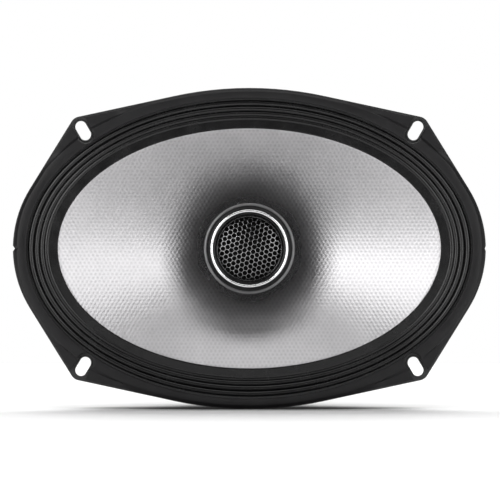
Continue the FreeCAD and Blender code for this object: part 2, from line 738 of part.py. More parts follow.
def tweeter_lead(sign):
    """Insulated lead from the tweeter, through its post, to the terminal side."""
    x = sign * LEAD_OFFSET
    rear_y = BACK_Y + LEAD_R + 0.25
    side_z = -(MAGNET_R + LEAD_R + 0.2)
    front = [Vector(x, HOUSING_FLOOR_Y, 0), Vector(x, rear_y, 0), Vector(x, rear_y, side_z)]
    if sign > 0:
        tail = [Vector(x, 47.0, side_z), Vector(7.0, 43.0, -54.0), Vector(TAB_X, 41.0, TAB_Z + 1.0)]
    else:
        centre = Vector(CAPACITOR_X, CAPACITOR_Y, CAPACITOR_Z)
        splice = centre + capacitor_axis() * (CAPACITOR_LENGTH / 2 + 1.5)
        tail = [Vector(x, 49.0, side_z), Vector(-3.0, 44.0, CAPACITOR_Z - 1.0), splice]
    return lead(front + tail, LEAD_R, LEAD_BEND_R)


def capacitor_axis():
    """Unit vector along the capacitor, towards the middle of the basket."""
    tilt = math.radians(CAPACITOR_TILT)
    return Vector(math.cos(tilt), 0, -math.sin(tilt))


def crossover_capacitor():
    """Small can in series with the tweeter, glued to the basket's shelf."""
    axis = capacitor_axis()
    start = Vector(CAPACITOR_X, CAPACITOR_Y, CAPACITOR_Z) - axis * (CAPACITOR_LENGTH / 2)
    can = Part.makeCylinder(CAPACITOR_R, CAPACITOR_LENGTH, start, axis)
    groove = Part.makeTorus(CAPACITOR_R + 0.3, 0.7, start + axis * (CAPACITOR_LENGTH - 2.5), axis)
    rims = [edge for edge in can.Edges if len(edge.Vertexes) == 1]
    return can.makeFillet(0.6, rims).cut(groove)


def capacitor_legs():
    """The capacitor's two stiff wire legs, one to the positive tab, one to the lead."""
    axis = capacitor_axis()
    centre = Vector(CAPACITOR_X, CAPACITOR_Y, CAPACITOR_Z)
    outer_end = centre - axis * (CAPACITOR_LENGTH / 2)
    route = [outer_end, outer_end - axis * 4.0, Vector(-31.5, 42.5, TAB_Z + 6.0),
             Vector(-24.0, 42.5, TAB_Z + 0.2), Vector(-TAB_X - 3.2, 42.0, TAB_Z)]
    outer = lead(route, LEG_R, LEG_BEND_R)
    inner_end = centre + axis * (CAPACITOR_LENGTH / 2)
    inner = Part.makeCylinder(LEG_R, 1.0, inner_end, axis)
    return Part.makeCompound([outer, inner])


# ---------------------------------------------------------------- tweeter
def tweeter_post():
    """Hollow bolt whose head clamps the tweeter housing down on the pole."""
    outline = [
        (POST_BORE_R, HOUSING_FLOOR_Y), (POST_HEAD_R, HOUSING_FLOOR_Y),
        (POST_HEAD_R, HOUSING_FLOOR_Y + POST_HEAD_H), (POST_R, HOUSING_FLOOR_Y + POST_HEAD_H),
        (POST_R, POST_REAR_Y), (POST_BORE_R, POST_REAR_Y),
    ]
    return revolve(outline)


def post_washer():
    """Plain washer in the yoke's rear recess."""
    start = BACK_Y - RECESS_DEPTH
    return tube(WASHER_R, POST_R + 0.1, start, start + WASHER_THICK)


def post_nut():
    """Hexagonal nut that clamps the tweeter post to the yoke."""
    start = BACK_Y - RECESS_DEPTH + WASHER_THICK
    corner_r = NUT_ACROSS_FLATS / 2 / math.cos(math.radians(30))
    corners = []
    for i in range(6):
        angle = math.radians(60 * i)
        corners.append(Vector(corner_r * math.cos(angle), start, corner_r * math.sin(angle)))
    prism = along_y(Part.Face(Part.makePolygon(corners + corners[:1])), start, start + NUT_THICK)
    return prism.cut(disc(POST_R, start - 1, start + NUT_THICK + 1))


def tweeter_housing():
    """Cup on a pedestal; its face is the black ring with a pale outer rim."""
    head_seat = HOUSING_FLOOR_Y + POST_HEAD_H
    yoke_seat_r = TWEETER_YOKE_R + 0.4
    outline = [
        (CHROME_OUTER_R, -0.4), (21.8, -0.4), (22.1, TWEETER_FRONT_Y), (22.4, TWEETER_FRONT_Y),
        (TWEETER_R, -0.5), (TWEETER_R, 5.0), (21.8, 10.0), (19.6, 15.0), (16.5, 19.0),
        (12.5, 21.5), (11.2, 24.0), (PEDESTAL_R, 30.0), (PEDESTAL_R, POLE_FRONT_Y),
        (POLE_BORE_R, POLE_FRONT_Y), (POLE_BORE_R, head_seat), (POST_HEAD_R + 0.1, head_seat),
        (POST_HEAD_R + 0.1, HOUSING_FLOOR_Y), (yoke_seat_r, HOUSING_FLOOR_Y),
        (yoke_seat_r, TWEETER_YOKE_SPAN[0]), (TWEETER_FRAME_R, TWEETER_YOKE_SPAN[0]),
        (TWEETER_FRAME_R, CHROME_REAR_Y), (CHROME_OUTER_R, CHROME_REAR_Y),
    ]
    return revolve(outline)


def chrome_ring():
    """Bright trim ring with a rounded face and a funnel-shaped bore."""
    middle = (CHROME_OUTER_R + CHROME_INNER_R) / 2
    half = (CHROME_OUTER_R - CHROME_INNER_R) / 2
    outline = [(CHROME_OUTER_R, CHROME_REAR_Y), (CHROME_OUTER_R, CHROME_FACE_Y)]
    for i in range(1, 6):
        angle = math.pi * i / 6
        crest = half * math.sin(angle)
        outline.append((middle + half * math.cos(angle), CHROME_FACE_Y - crest))
    bore = GRILLE_R + 0.1
    outline += [(CHROME_INNER_R, CHROME_FACE_Y), (bore, GRILLE_EDGE_Y - 0.6),
                (bore, GRILLE_EDGE_Y + 0.7), (TWEETER_FRAME_R + 0.2, CHROME_REAR_Y)]
    return revolve(outline)


def grille_ring():
    """Thin ring that holds the edge of the tweeter grille."""
    outline = [(GRILLE_R + 0.1, GRILLE_EDGE_Y + 0.7), (GRILLE_R - 0.9, GRILLE_EDGE_Y + 0.7),
               (GRILLE_R - 0.9, GRILLE_EDGE_Y + 1.5), (TWEETER_FRAME_R, GRILLE_EDGE_Y + 1.5),
               (TWEETER_FRAME_R, CHROME_REAR_Y)]
    return revolve(outline)


def dome_shell(radius, edge_y, rise, thick):
    """Thin spherical cap, convex towards the front."""
    sphere_r = (radius ** 2 + rise ** 2) / (2 * rise)
    centre_y = edge_y - rise + sphere_r
    outer = Part.makeSphere(sphere_r, Vector(0, centre_y, 0))
    inner = Part.makeSphere(sphere_r - thick, Vector(0, centre_y, 0))
    keep = disc(radius, edge_y - rise - 1, edge_y)
    return outer.cut(inner).common(keep)


def tweeter_grille():
    """Domed metal mesh with hexagonal holes."""
    dome = dome_shell(GRILLE_R, GRILLE_EDGE_Y, GRILLE_RISE, GRILLE_THICK)
    border = tube(GRILLE_R, GRILLE_R - 1.0, GRILLE_EDGE_Y, GRILLE_EDGE_Y + 0.7)
    dome = dome.fuse(border)
    hole_r = GRILLE_HOLE / 2 / math.cos(math.radians(30))
    row_step = GRILLE_PITCH * math.sin(math.radians(60))
    rows = int(GRILLE_R / row_step)
    front = GRILLE_EDGE_Y - GRILLE_RISE - 3
    cutters = []
    for row in range(-rows, rows + 1):
        z = row * row_step
        shift = GRILLE_PITCH / 2 if row % 2 else 0.0
        for column in range(-rows - 1, rows + 2):
            x = column * GRILLE_PITCH + shift
            if math.hypot(x, z) > GRILLE_R - GRILLE_BORDER:
                continue
            corners = []
            for i in range(6):
                angle = math.radians(60 * i + 30)
                corner_x = x + hole_r * math.cos(angle)
                corner_z = z + hole_r * math.sin(angle)
                corners.append(Vector(corner_x, front, corner_z))
            hexagon = Part.Face(Part.makePolygon(corners + corners[:1]))
            cutters.append(along_y(hexagon, front, GRILLE_EDGE_Y + 3))
    holes = Part.makeCompound(cutters)
    holes.rotate(ORIGIN, Y_AXIS, -GRILLE_TURN)
    return dome.cut(holes)


def tweeter_dome():
    """Soft dome diaphragm with a short skirt for its coil."""
    dome = dome_shell(DOME_R, DOME_Y, DOME_RISE, DOME_THICK)
    skirt = tube(DOME_R, DOME_R - DOME_EDGE_THICK, DOME_Y - 0.1, DOME_COIL_SPAN[1] + 0.2)
    return dome.fuse(skirt)


def tweeter_surround():
    """Half-roll edge around the soft dome."""
    inner = DOME_R + 0.1
    middle = (inner + DOME_EDGE_R) / 2
    half = (DOME_EDGE_R - inner) / 2
    front = []
    for i in range(9):
        angle = math.pi * i / 8
        front.append((middle - half * math.cos(angle), DOME_Y - half * math.sin(angle)))
    front.append((TWEETER_FRAME_R - 0.4, DOME_Y))
    back = [(radius, y + DOME_EDGE_THICK) for radius, y in reversed(front)]
    return revolve(front + back)


def tweeter_frame():
    """Ring that carries the dome's edge on the tweeter yoke."""
    return tube(TWEETER_FRAME_R, TWEETER_YOKE_R, DOME_Y + DOME_EDGE_THICK, TWEETER_YOKE_SPAN[0])


def tweeter_coil():
    """Fine winding on the dome's skirt."""
    return tube(DOME_R + 0.3, DOME_R, *DOME_COIL_SPAN)


def tweeter_pole_plate():
    """Steel disc inside the tweeter's coil."""
    return disc(POLE_PLATE_R, *POLE_PLATE_SPAN)


def tweeter_magnet():
    """Small disc magnet behind the pole plate."""
    return disc(TWEETER_MAGNET_R, POLE_PLATE_SPAN[1], TWEETER_MAGNET_REAR_Y)


def tweeter_yoke():
    """Steel cup around the tweeter's magnet."""
    front, rear = TWEETER_YOKE_SPAN
    return disc(TWEETER_YOKE_R, front, rear).cut(disc(TWEETER_GAP_R, front - 1, TWEETER_MAGNET_REAR_Y))


def damping_pad():
    """Felt disc behind the soft dome."""
    return disc(DAMPING_PAD_R, DAMPING_PAD_FRONT_Y, POLE_PLATE_SPAN[0])


def write_parts():
    """Write one STEP file for each piece."""
    parts = {
        "front_trim_ring": front_trim_ring(),
        "panel_gasket": panel_gasket(),
        "basket": basket(),
        "cone_surround": cone_surround(),
        "cone": cone(),
        "coil_former": coil_former(),
        "coil_winding": coil_winding(),
        "spider": spider(),
        "top_plate": top_plate(),
        "ferrite_magnet": ferrite_magnet(),
        "yoke": yoke(),
        "magnet_boot": magnet_boot(),
        "motor_screws": motor_screws(),
        "terminal_board": terminal_board(),
        "positive_tab": spade_tab(-TAB_X, TAB_WIDTHS["positive"]),
        "negative_tab": spade_tab(TAB_X, TAB_WIDTHS["negative"]),
        "terminal_rivets": terminal_rivets(),
        "tinsel_lead_positive": tinsel_lead(-1),
        "tinsel_lead_negative": tinsel_lead(1),
        "tweeter_lead_positive": tweeter_lead(-1),
        "tweeter_lead_negative": tweeter_lead(1),
        "crossover_capacitor": crossover_capacitor(),
        "capacitor_legs": capacitor_legs(),
        "tweeter_post": tweeter_post(),
        "post_washer": post_washer(),
        "post_nut": post_nut(),
        "tweeter_housing": tweeter_housing(),
        "chrome_ring": chrome_ring(),
        "grille_ring": grille_ring(),
        "tweeter_grille": tweeter_grille(),
        "tweeter_dome": tweeter_dome(),
        "tweeter_surround": tweeter_surround(),
        "tweeter_frame": tweeter_frame(),
        "tweeter_coil": tweeter_coil(),
        "tweeter_pole_plate": tweeter_pole_plate(),
        "tweeter_magnet": tweeter_magnet(),
        "tweeter_yoke": tweeter_yoke(),
        "damping_pad": damping_pad(),
    }
    os.makedirs("parts", exist_ok=True)
    for name, shape in parts.items():
        bounds = shape.BoundBox
        print("%-22s solids %d valid %s volume %.1f  y %.2f to %.2f" % (
            name, len(shape.Solids), shape.isValid(), shape.Volume, bounds.YMin, bounds.YMax))
        shape.exportStep("parts/%s.step" % name)


write_parts()
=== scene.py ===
"""Looks of the 6x9-inch coaxial speaker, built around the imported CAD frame.

Metres, with +X along the long axis, +Y to the rear and +Z up.  Shapes are drawn in
millimetres in the same frame and scaled when their mesh is made.
"""
import json
import math

import bmesh
import bpy
import numpy as np
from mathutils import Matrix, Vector


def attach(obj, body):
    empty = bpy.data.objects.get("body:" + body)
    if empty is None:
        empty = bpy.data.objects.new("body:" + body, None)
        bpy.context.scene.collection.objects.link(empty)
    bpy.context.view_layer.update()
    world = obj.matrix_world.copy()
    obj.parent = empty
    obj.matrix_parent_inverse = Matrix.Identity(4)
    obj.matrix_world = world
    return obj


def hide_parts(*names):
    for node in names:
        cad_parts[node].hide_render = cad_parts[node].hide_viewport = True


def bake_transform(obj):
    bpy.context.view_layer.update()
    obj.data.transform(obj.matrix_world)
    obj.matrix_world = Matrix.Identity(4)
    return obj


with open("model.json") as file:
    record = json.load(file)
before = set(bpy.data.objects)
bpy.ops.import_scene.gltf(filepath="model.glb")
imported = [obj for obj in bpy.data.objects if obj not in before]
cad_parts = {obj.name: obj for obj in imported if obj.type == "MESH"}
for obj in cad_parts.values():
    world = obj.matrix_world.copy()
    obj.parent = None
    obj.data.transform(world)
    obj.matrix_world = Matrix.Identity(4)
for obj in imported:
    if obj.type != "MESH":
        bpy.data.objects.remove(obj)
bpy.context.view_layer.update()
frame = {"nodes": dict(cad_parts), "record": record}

NODES = frame["nodes"]
SLOT_OF = {part["node"]: part["material_slot"] for part in frame["record"]["subparts"]}
MM = 0.001

# ------------------------ shared dimensions, mm
FLANGE_HALF = (118.4, 80.4)
SIDE_ARC_R = 56.75
SIDE_LINE_TILT = 31.75
TOP_ARC_R = 177.0
TOP_LINE_TILT = 12.2
EAR_R = 5.3
SLOT_CENTRE = (83.25, 59.05)
SLOT_TILT = 60.0
SLOT_R = 2.875
SLOT_LENGTH = 10.25
SLOT_CORNERS = ((1, 1), (-1, 1), (-1, -1), (1, -1))

# The recess for a screw's head: open towards the flange's corner, with sides that flare a little.
SCALLOP_R = 3.85
SCALLOP_SHIFT = 0.55
SCALLOP_FLARE = 3.0
# How much the recess grows, and at which Y, from its floor out past its chamfered rim.
SCALLOP_DEPTHS = ((0.0, -2.0), (0.0, -3.3), (0.05, -4.15), (0.35, -4.68), (0.98, -5.02), (1.2, -6.0))

TRIM_FRONT_Y = -5.0
PLATE_FRONT_Y = -2.8
TRIM_TOP_HALF = (116.2, 78.6)
TRIM_FOOT_HALF = (118.0, 80.05)
TRIM_INNER_HALF = (111.6, 75.15)
TRIM_FOOT_POWER = 2.15
TRIM_FACE_POWER = 2.07
TRIM_INNER_ROUNDING = 0.45
TRIM_EDGE_R = 0.4
TRIM_LEAST_WIDTH = 1.6
# Widths of the slope outside the face: a plain bevel up to the first, a whole ear from the second.
TRIM_NARROW = 2.0
TRIM_WIDE = 4.5
EAR_INSET = 0.9
BEVEL_INSET = 0.3
BEVEL_DROP = 1.25
EAR_DROP = 1.5
MOULD_NOTCH_HALF = 1.5
MOULD_NOTCH_LEFT = 0.75
MOULD_NOTCH_RIGHT = 0.25

COIL_FORMER_R = 16.15
CONE_EDGE_HALF = (96.25, 60.4)
CONE_RIM_WIDTH = 3.8
CONE_FRONT_Y = -2.2
CONE_THICK = 0.8
CONE_NECK_Y = 30.0
CONE_BOW = 0.93
SURROUND_OUTER_HALF = (111.2, 74.5)
SURROUND_THICK = 0.65
LIP_FRONT_Y = -2.95
# Where each roll starts and ends, outwards from the cone's visible edge, and its height.
ROLLS = ((4.1, 6.3, 0.5), (6.3, 8.7, 0.75), (8.7, 11.6, 1.15), (11.6, 14.6, 1.15))
ROLL_SHAPE = 0.62
LIP_ROUNDING = 0.15
SURROUND_GLUED_FROM = 10.9

SHELF_FRONT_Y = 34.8
SPIDER_OUTER_R = 51.0
SPIDER_START_R = 20.0
SPIDER_PITCH = 5.0
SPIDER_WAVES = 5
SPIDER_HEIGHT = 1.3
SPIDER_THICK = 0.5

TAB_X = 12.0
TAB_Z = -62.5
TINSEL_R = 0.8
TINSEL_RIPPLE = 0.12
TINSEL_LAY = 2.6

TWEETER_R = 22.8
RIM_INNER_R = 21.45
RECESS_R = 17.8
RECESS_SHELF_R = 15.2
RECESS_SHELF_Y = 10.4
SHELL_SEAT_Y = 4.6
CHROME_OUTER_R = 19.7
CHROME_INNER_R = 18.1
CHROME_ROUND_Y = -1.0
BEVEL_MIDDLE_R = 17.6
BEVEL_ROUND = 0.52
BEVEL_ROUND_Y = 0.25
GRILLE_R = 16.9
GRILLE_EDGE_Y = 3.2
GRILLE_RISE = 3.4
GRILLE_THICK = 0.6
GRILLE_BORDER = 0.9
GRILLE_PITCH = 2.5
GRILLE_HOLE = 2.05
GRILLE_TURN = 19.5
SMALLEST_FACE = 1e-4
# A hole's rim: share of the way from the cell's edge to the hole, and depth behind the face.
GRILLE_WIRE = ((0.0, 0.0), (0.5, 0.008), (0.85, 0.11), (1.0, 0.34), (0.85, 0.52), (0.0, GRILLE_THICK))
HOUSING_FLOOR_Y = 16.4
PEDESTAL_R = 11.5
POLE_FRONT_Y = 45.0
POLE_BORE_R = 4.05
POST_HEAD_R = 6.0
POST_HEAD_H = 1.4
DOME_R = 12.5
DOME_Y = 8.2
DOME_RISE = 4.0
DOME_THICK = 0.3
DOME_EDGE_R = 14.6
DOME_EDGE_THICK = 0.25

WEAVE_PITCH = 1.84

OVAL_STEPS = 360
ROUND_STEPS = 160


# ------------------------ material nodes
class Nodes:
    """A material with its Principled shader and short calls for adding nodes."""

    def __init__(self, name):
        self.material = bpy.data.materials.new(name)
        self.material.use_nodes = True
        self.tree = self.material.node_tree
        self.shader = self.tree.nodes["Principled BSDF"]

    def add(self, kind, inputs=(), **settings):
        node = self.tree.nodes.new(kind)
        for key, value in settings.items():
            setattr(node, key, value)
        for socket, value in dict(inputs).items():
            self.put(node.inputs[socket], value)
        return node

    def put(self, socket, value):
        """Link a socket's output to an input, or write a plain value there."""
        if isinstance(value, bpy.types.NodeSocket):
            self.tree.links.new(value, socket)
        else:
            socket.default_value = value

    def place(self, scale=(1.0, 1.0, 1.0)):
        """Object coordinates in millimetres, each axis multiplied by scale."""
        coords = self.add("ShaderNodeTexCoord")
        factors = tuple(s / MM for s in scale)
        mapping = self.add("ShaderNodeMapping", {"Vector": coords.outputs["Object"], "Scale": factors})
        return mapping.outputs["Vector"]

    def noise(self, where, size, detail=4.0, roughness=0.55):
        """Noise whose largest features are about size millimetres wide."""
        node = self.add("ShaderNodeTexNoise", {
            "Vector": where, "Scale": 1.0 / size, "Detail": detail, "Roughness": roughness})
        return node.outputs["Fac"]

    def math(self, operation, first, second=0.5):
        node = self.add("ShaderNodeMath", {0: first, 1: second}, operation=operation)
        return node.outputs[0]

    def spread(self, value, low, high, start=0.3, end=0.7):
        """A number that runs from low to high as value goes from start to end."""
        node = self.add("ShaderNodeMapRange", {
            "Value": value, "From Min": start, "From Max": end, "To Min": low, "To Max": high})
        return node.outputs["Result"]

    def ramp(self, value, *stops):
        node = self.add("ShaderNodeValToRGB", {"Fac": value})
        elements = node.color_ramp.elements
        while len(elements) < len(stops):
            elements.new(0.5)
        for element, (position, colour) in zip(elements, stops):
            element.position = position
            element.color = (*colour, 1.0)
        return node.outputs["Color"]

    def bump(self, height, depth):
        """Surface bump whose full height is depth millimetres."""
        node = self.add("ShaderNodeBump", {"Height": height, "Distance": depth * MM, "Strength": 1.0})
        return node.outputs["Normal"]

    def finish(self, **values):
        """The material, once the Principled shader's named inputs are set."""
        for key, value in values.items():
            self.put(self.shader.inputs[key.replace("_", " ")], value)
        return self.material


def grained(name, dark, light, grain=0.6, rough=(0.45, 0.6), depth=0.03, metallic=0.0,
            stretch=(1.0, 1.0, 1.0), blotch=14.0, **more):
    """Moulded, cast or coated finish: fine grain over broad, faint blotches."""
    m = Nodes(name)
    where = m.place(stretch)
    fine = m.noise(where, grain, 5.0)
    broad = m.noise(where, blotch, 3.0)
    both = m.math("MULTIPLY_ADD", fine, 0.5)
    m.put(both.node.inputs[2], m.math("MULTIPLY", broad, 0.5))
    colour = m.ramp(both, (0.36, dark), (0.64, light))
    return m.finish(Base_Color=colour, Metallic=metallic, Roughness=m.spread(broad, *rough),
                    Normal=m.bump(fine, depth), **more)


def radius_of(m):
    """Distance from the Y axis, in millimetres."""
    split = m.add("ShaderNodeSeparateXYZ", {"Vector": m.place()})
    flat = m.add("ShaderNodeCombineXYZ", {"X": split.outputs["X"], "Y": split.outputs["Z"]})
    return m.add("ShaderNodeVectorMath", {0: flat.outputs[0]}, operation="LENGTH").outputs["Value"]


def turned(name, dark, light, rough=(0.25, 0.42), depth=0.006, metallic=1.0, pitch=0.22, **more):
    """Metal turned or plated on a lathe: faint rings about the axis, with stains."""
    m = Nodes(name)
    radius = radius_of(m)
    ring = m.add("ShaderNodeTexNoise", {"W": radius, "Scale": 1.0 / pitch, "Detail": 3.0},
                 noise_dimensions="1D").outputs["Fac"]
    band = m.add("ShaderNodeTexNoise", {"W": radius, "Scale": 0.6, "Detail": 4.0},
                 noise_dimensions="1D").outputs["Fac"]
    stain = m.noise(m.place(), 9.0, 5.0)
    tone = m.math("ADD", m.math("MULTIPLY", band, 0.6), m.math("MULTIPLY", stain, 0.4))
    colour = m.ramp(tone, (0.35, dark), (0.62, light))
    if depth:
        more["Normal"] = m.bump(ring, depth)
    return m.finish(Base_Color=colour, Metallic=metallic, Roughness=m.spread(stain, rough[1], rough[0]),
                    **more)


def cloth(name, dark, light, pitch=0.7, depth=0.08, rough=(0.75, 0.92), axes=("X", "Z"), **more):
    """Plain weave: over-and-under threads in two directions."""
    m = Nodes(name)
    split = m.add("ShaderNodeSeparateXYZ", {"Vector": m.place()})
    waves = []
    for axis in axes:
        angle = m.math("MULTIPLY", split.outputs[axis], 2 * math.pi / pitch)
        waves.append(m.math("SINE", angle))
    weave = m.math("MULTIPLY", waves[0], waves[1])
    slub = m.noise(m.place(), pitch * 3.0, 4.0)
    worn = m.noise(m.place(), 11.0, 4.0)
    tone = m.math("ADD", m.spread(weave, 0.0, 0.6, -1.0, 1.0), m.math("MULTIPLY", slub, 0.4))
    return m.finish(Base_Color=m.ramp(tone, (0.2, dark), (0.8, light)),
                    Roughness=m.spread(worn, *rough), Normal=m.bump(tone, depth), **more)


def cone_weave():
    """Pale metallised weave: staggered ticks pressed into the surface, and faint fibres."""
    m = Nodes("cone_weave")
    where = m.place()
    # Three waves 60 degrees apart; the middle one is weaker, which lengthens the ticks.
    lobes = []
    for turn in (30.0, 90.0, 150.0):
        angle = math.radians(turn)
        factors = tuple(c * 2 * math.pi / WEAVE_PITCH for c in (math.cos(angle), 0.0, math.sin(angle)))
        dot = m.add("ShaderNodeVectorMath", {0: where, 1: factors}, operation="DOT_PRODUCT")
        lobes.append(m.math("COSINE", dot.outputs["Value"]))
    total = m.math("ADD", m.math("ADD", lobes[0], lobes[2]), m.math("MULTIPLY", lobes[1], 0.7))
    ticks = m.spread(total, 1.0, 0.0, -1.5, 2.7)
    fibre = m.noise(m.place((0.35, 0.35, 2.2)), 0.8, 5.0, 0.6)
    cloud = m.noise(where, 16.0, 3.0)
    relief = m.math("ADD", ticks, m.math("MULTIPLY", fibre, 0.18))
    tone = m.math("ADD", m.math("MULTIPLY", ticks, 0.16), m.math("MULTIPLY", fibre, 0.22))
    shade = m.math("ADD", tone, m.math("MULTIPLY", cloud, 0.25))
    colour = m.ramp(shade, (0.1, (0.36, 0.355, 0.365)), (0.6, (0.62, 0.61, 0.62)))
    # The cone is smoother round its neck, so that it stays darker there.
    worn = m.math("ADD", m.spread(radius_of(m), 0.25, 0.40, 26.0, 38.0), m.spread(cloud, 0.0, 0.03))
    return m.finish(Base_Color=colour, Metallic=0.92, Roughness=worn,
                    Normal=m.bump(relief, 0.068))


def rubber_edge():
    """Black rubber: satin, with a faint bloom and fine moulding grain."""
    m = Nodes("surround_rubber")
    where = m.place()
    fine = m.noise(where, 0.35, 4.0)
    bloom = m.noise(where, 7.0, 5.0)
    colour = m.ramp(bloom, (0.3, (0.0022, 0.0021, 0.0023)), (0.75, (0.0046, 0.0044, 0.0047)))
    return m.finish(Base_Color=colour, Roughness=m.spread(bloom, 0.22, 0.29),
                    Specular_IOR_Level=0.45, Normal=m.bump(fine, 0.006))


def braid(name, dark, light, pitch=1.1, depth=0.12):
    """Copper tinsel braid: strands crossing on the slant."""
    m = Nodes(name)
    where = m.place()
    waves = []
    for factors in ((0.9, 0.5, 1.0), (-0.9, 0.5, 1.0)):
        scaled = tuple(f * 2 * math.pi / pitch for f in factors)
        dot = m.add("ShaderNodeVectorMath", {0: where, 1: scaled}, operation="DOT_PRODUCT")
        waves.append(m.math("SINE", dot.outputs["Value"]))
    strands = m.math("MAXIMUM", waves[0], waves[1])
    tarnish = m.noise(where, 4.0, 4.0)
    tone = m.math("ADD", m.spread(strands, 0.0, 0.6, -1.0, 1.0), m.math("MULTIPLY", tarnish, 0.4))
    return m.finish(Base_Color=m.ramp(tone, (0.2, dark), (0.85, light)), Metallic=0.9,
                    Roughness=m.spread(tarnish, 0.35, 0.55), Normal=m.bump(strands, depth))


def winding(name, wire=0.25):
    """Enamelled copper wire wound side by side along Y."""
    m = Nodes(name)
    split = m.add("ShaderNodeSeparateXYZ", {"Vector": m.place()})
    turns = m.math("SINE", m.math("MULTIPLY", split.outputs["Y"], 2 * math.pi / wire))
    tone = m.noise(m.place(), 3.0, 4.0)
    colour = m.ramp(tone, (0.3, (0.35, 0.09, 0.025)), (0.7, (0.62, 0.24, 0.08)))
    return m.finish(Base_Color=colour, Metallic=0.9, Roughness=m.spread(tone, 0.25, 0.4),
                    Normal=m.bump(turns, 0.05), Coat_Weight=0.3)


def build_materials():
    """One finish for each material slot of the record, then those of the added pieces."""
    black = (0.0056, 0.0052, 0.0058)
    made = {
        "trim_plastic": grained("trim_plastic", black, (0.0096, 0.0093, 0.0098), 0.45,
                                (0.38, 0.46), 0.015, Specular_IOR_Level=0.27),
        "gasket_foam": grained("gasket_foam", (0.012, 0.012, 0.012), (0.035, 0.034, 0.033), 0.5,
                               (0.85, 0.95), 0.12, Specular_IOR_Level=0.2),
        "basket_steel": grained("basket_steel", (0.005, 0.005, 0.0053), (0.0105, 0.0105, 0.011), 0.7,
                                (0.36, 0.48), 0.025, Coat_Weight=0.12, Coat_Roughness=0.3),
        "surround_rubber": rubber_edge(),
        "cone_weave": cone_weave(),
        "former_film": grained("former_film", (0.05, 0.022, 0.010), (0.11, 0.05, 0.022), 0.8,
                               (0.3, 0.45), 0.02, stretch=(1.0, 3.0, 1.0)),
        "copper_wire": winding("copper_wire"),
        "spider_cloth": cloth("spider_cloth", (0.22, 0.135, 0.05), (0.50, 0.36, 0.17), 0.8, 0.1),
        "plated_steel": turned("plated_steel", (0.40, 0.395, 0.37), (0.46, 0.455, 0.43), (0.28, 0.36)),
        "ferrite": grained("ferrite", (0.018, 0.018, 0.019), (0.05, 0.05, 0.052), 0.3,
                           (0.5, 0.72), 0.035),
        "boot_rubber": grained("boot_rubber", (0.010, 0.010, 0.0105), (0.024, 0.024, 0.025), 0.4,
                               (0.52, 0.68), 0.03),
        "screw_steel": turned("screw_steel", (0.36, 0.35, 0.33), (0.62, 0.61, 0.58), (0.2, 0.36)),
        "board": cloth("board", (0.17, 0.085, 0.03), (0.30, 0.17, 0.07), 0.5, 0.03, (0.45, 0.6)),
        "tinned_brass": grained("tinned_brass", (0.52, 0.50, 0.45), (0.74, 0.72, 0.66), 0.8,
                                (0.22, 0.38), 0.012, 1.0),
        "rivet_brass": turned("rivet_brass", (0.50, 0.36, 0.13), (0.72, 0.55, 0.25)),
        "tinsel_braid": braid("tinsel_braid", (0.30, 0.12, 0.05), (0.75, 0.45, 0.27)),
        "lead_sleeve_light": grained("lead_sleeve_light", (0.26, 0.010, 0.008),
                                     (0.42, 0.022, 0.016), 1.2, (0.35, 0.48), 0.02),
        "lead_sleeve_dark": grained("lead_sleeve_dark", black, (0.02, 0.02, 0.021), 1.2,
                                    (0.35, 0.48), 0.02),
        "capacitor_sleeve": grained("capacitor_sleeve", (0.010, 0.018, 0.07), (0.02, 0.035, 0.12),
                                    1.5, (0.22, 0.34), 0.015, Coat_Weight=0.4),
        "tinned_wire": grained("tinned_wire", (0.50, 0.49, 0.47), (0.74, 0.73, 0.70), 0.5,
                               (0.2, 0.34), 0.01, 1.0),
        "tweeter_plastic": grained("tweeter_plastic", (0.0028, 0.0028, 0.003),
                                   (0.0055, 0.0055, 0.0058), 0.5, (0.24, 0.33), 0.006,
                                   Specular_IOR_Level=0.34),
        "chrome_trim": turned("chrome_trim", (0.90, 0.90, 0.91), (0.96, 0.96, 0.97), (0.16, 0.24),
                              0.0),
        "grille_trim": grained("grille_trim", (0.02, 0.02, 0.021), (0.045, 0.045, 0.046), 0.5,
                               (0.3, 0.42), 0.01, 0.6),
        "grille_mesh": grained("grille_mesh", (0.18, 0.18, 0.184), (0.30, 0.30, 0.304), 0.5,
                               (0.15, 0.21), 0.003, 0.95),
        "dome_silk": cloth("dome_silk", (0.0015, 0.0014, 0.0013), (0.005, 0.0047, 0.0044), 0.35,
                           0.02, (0.8, 0.95), Specular_IOR_Level=0.12),
        "plated_magnet": turned("plated_magnet", (0.5, 0.5, 0.49), (0.7, 0.7, 0.69)),
        "felt": cloth("felt", (0.03, 0.03, 0.03), (0.10, 0.10, 0.10), 0.6, 0.15, (0.9, 1.0)),
    }
    made["tweeter_rim"] = turned("tweeter_rim", (0.10, 0.10, 0.102), (0.19, 0.19, 0.192),
                                 (0.28, 0.4), 0.002, 0.8)
    made["lip_plastic"] = grained("lip_plastic", (0.004, 0.004, 0.0042), (0.008, 0.008, 0.0083), 0.6,
                                  (0.24, 0.34), 0.008)
    made["gloss_bevel"] = grained("gloss_bevel", (0.001, 0.001, 0.0011), (0.0025, 0.0025, 0.0026), 1.0,
                                  (0.10, 0.16), 0.001, Specular_IOR_Level=0.4)
    made["solder"] = grained("solder", (0.55, 0.55, 0.54), (0.78, 0.78, 0.77), 0.9, (0.18, 0.35),
                             0.03, 1.0)
    # Near-black glue seam, made this dark to paint the shade where the rubber meets the cone.
    made["edge_glue"] = grained("edge_glue", (0.0015, 0.0015, 0.0016), (0.004, 0.004, 0.0042), 0.7,
                                (0.5, 0.65), 0.02, Specular_IOR_Level=0.2)
    made["glue"] = grained("glue", (0.020, 0.018, 0.015), (0.05, 0.045, 0.04), 1.4, (0.16, 0.3),
                           0.06, Coat_Weight=0.5)
    return made


FINISH = build_materials()


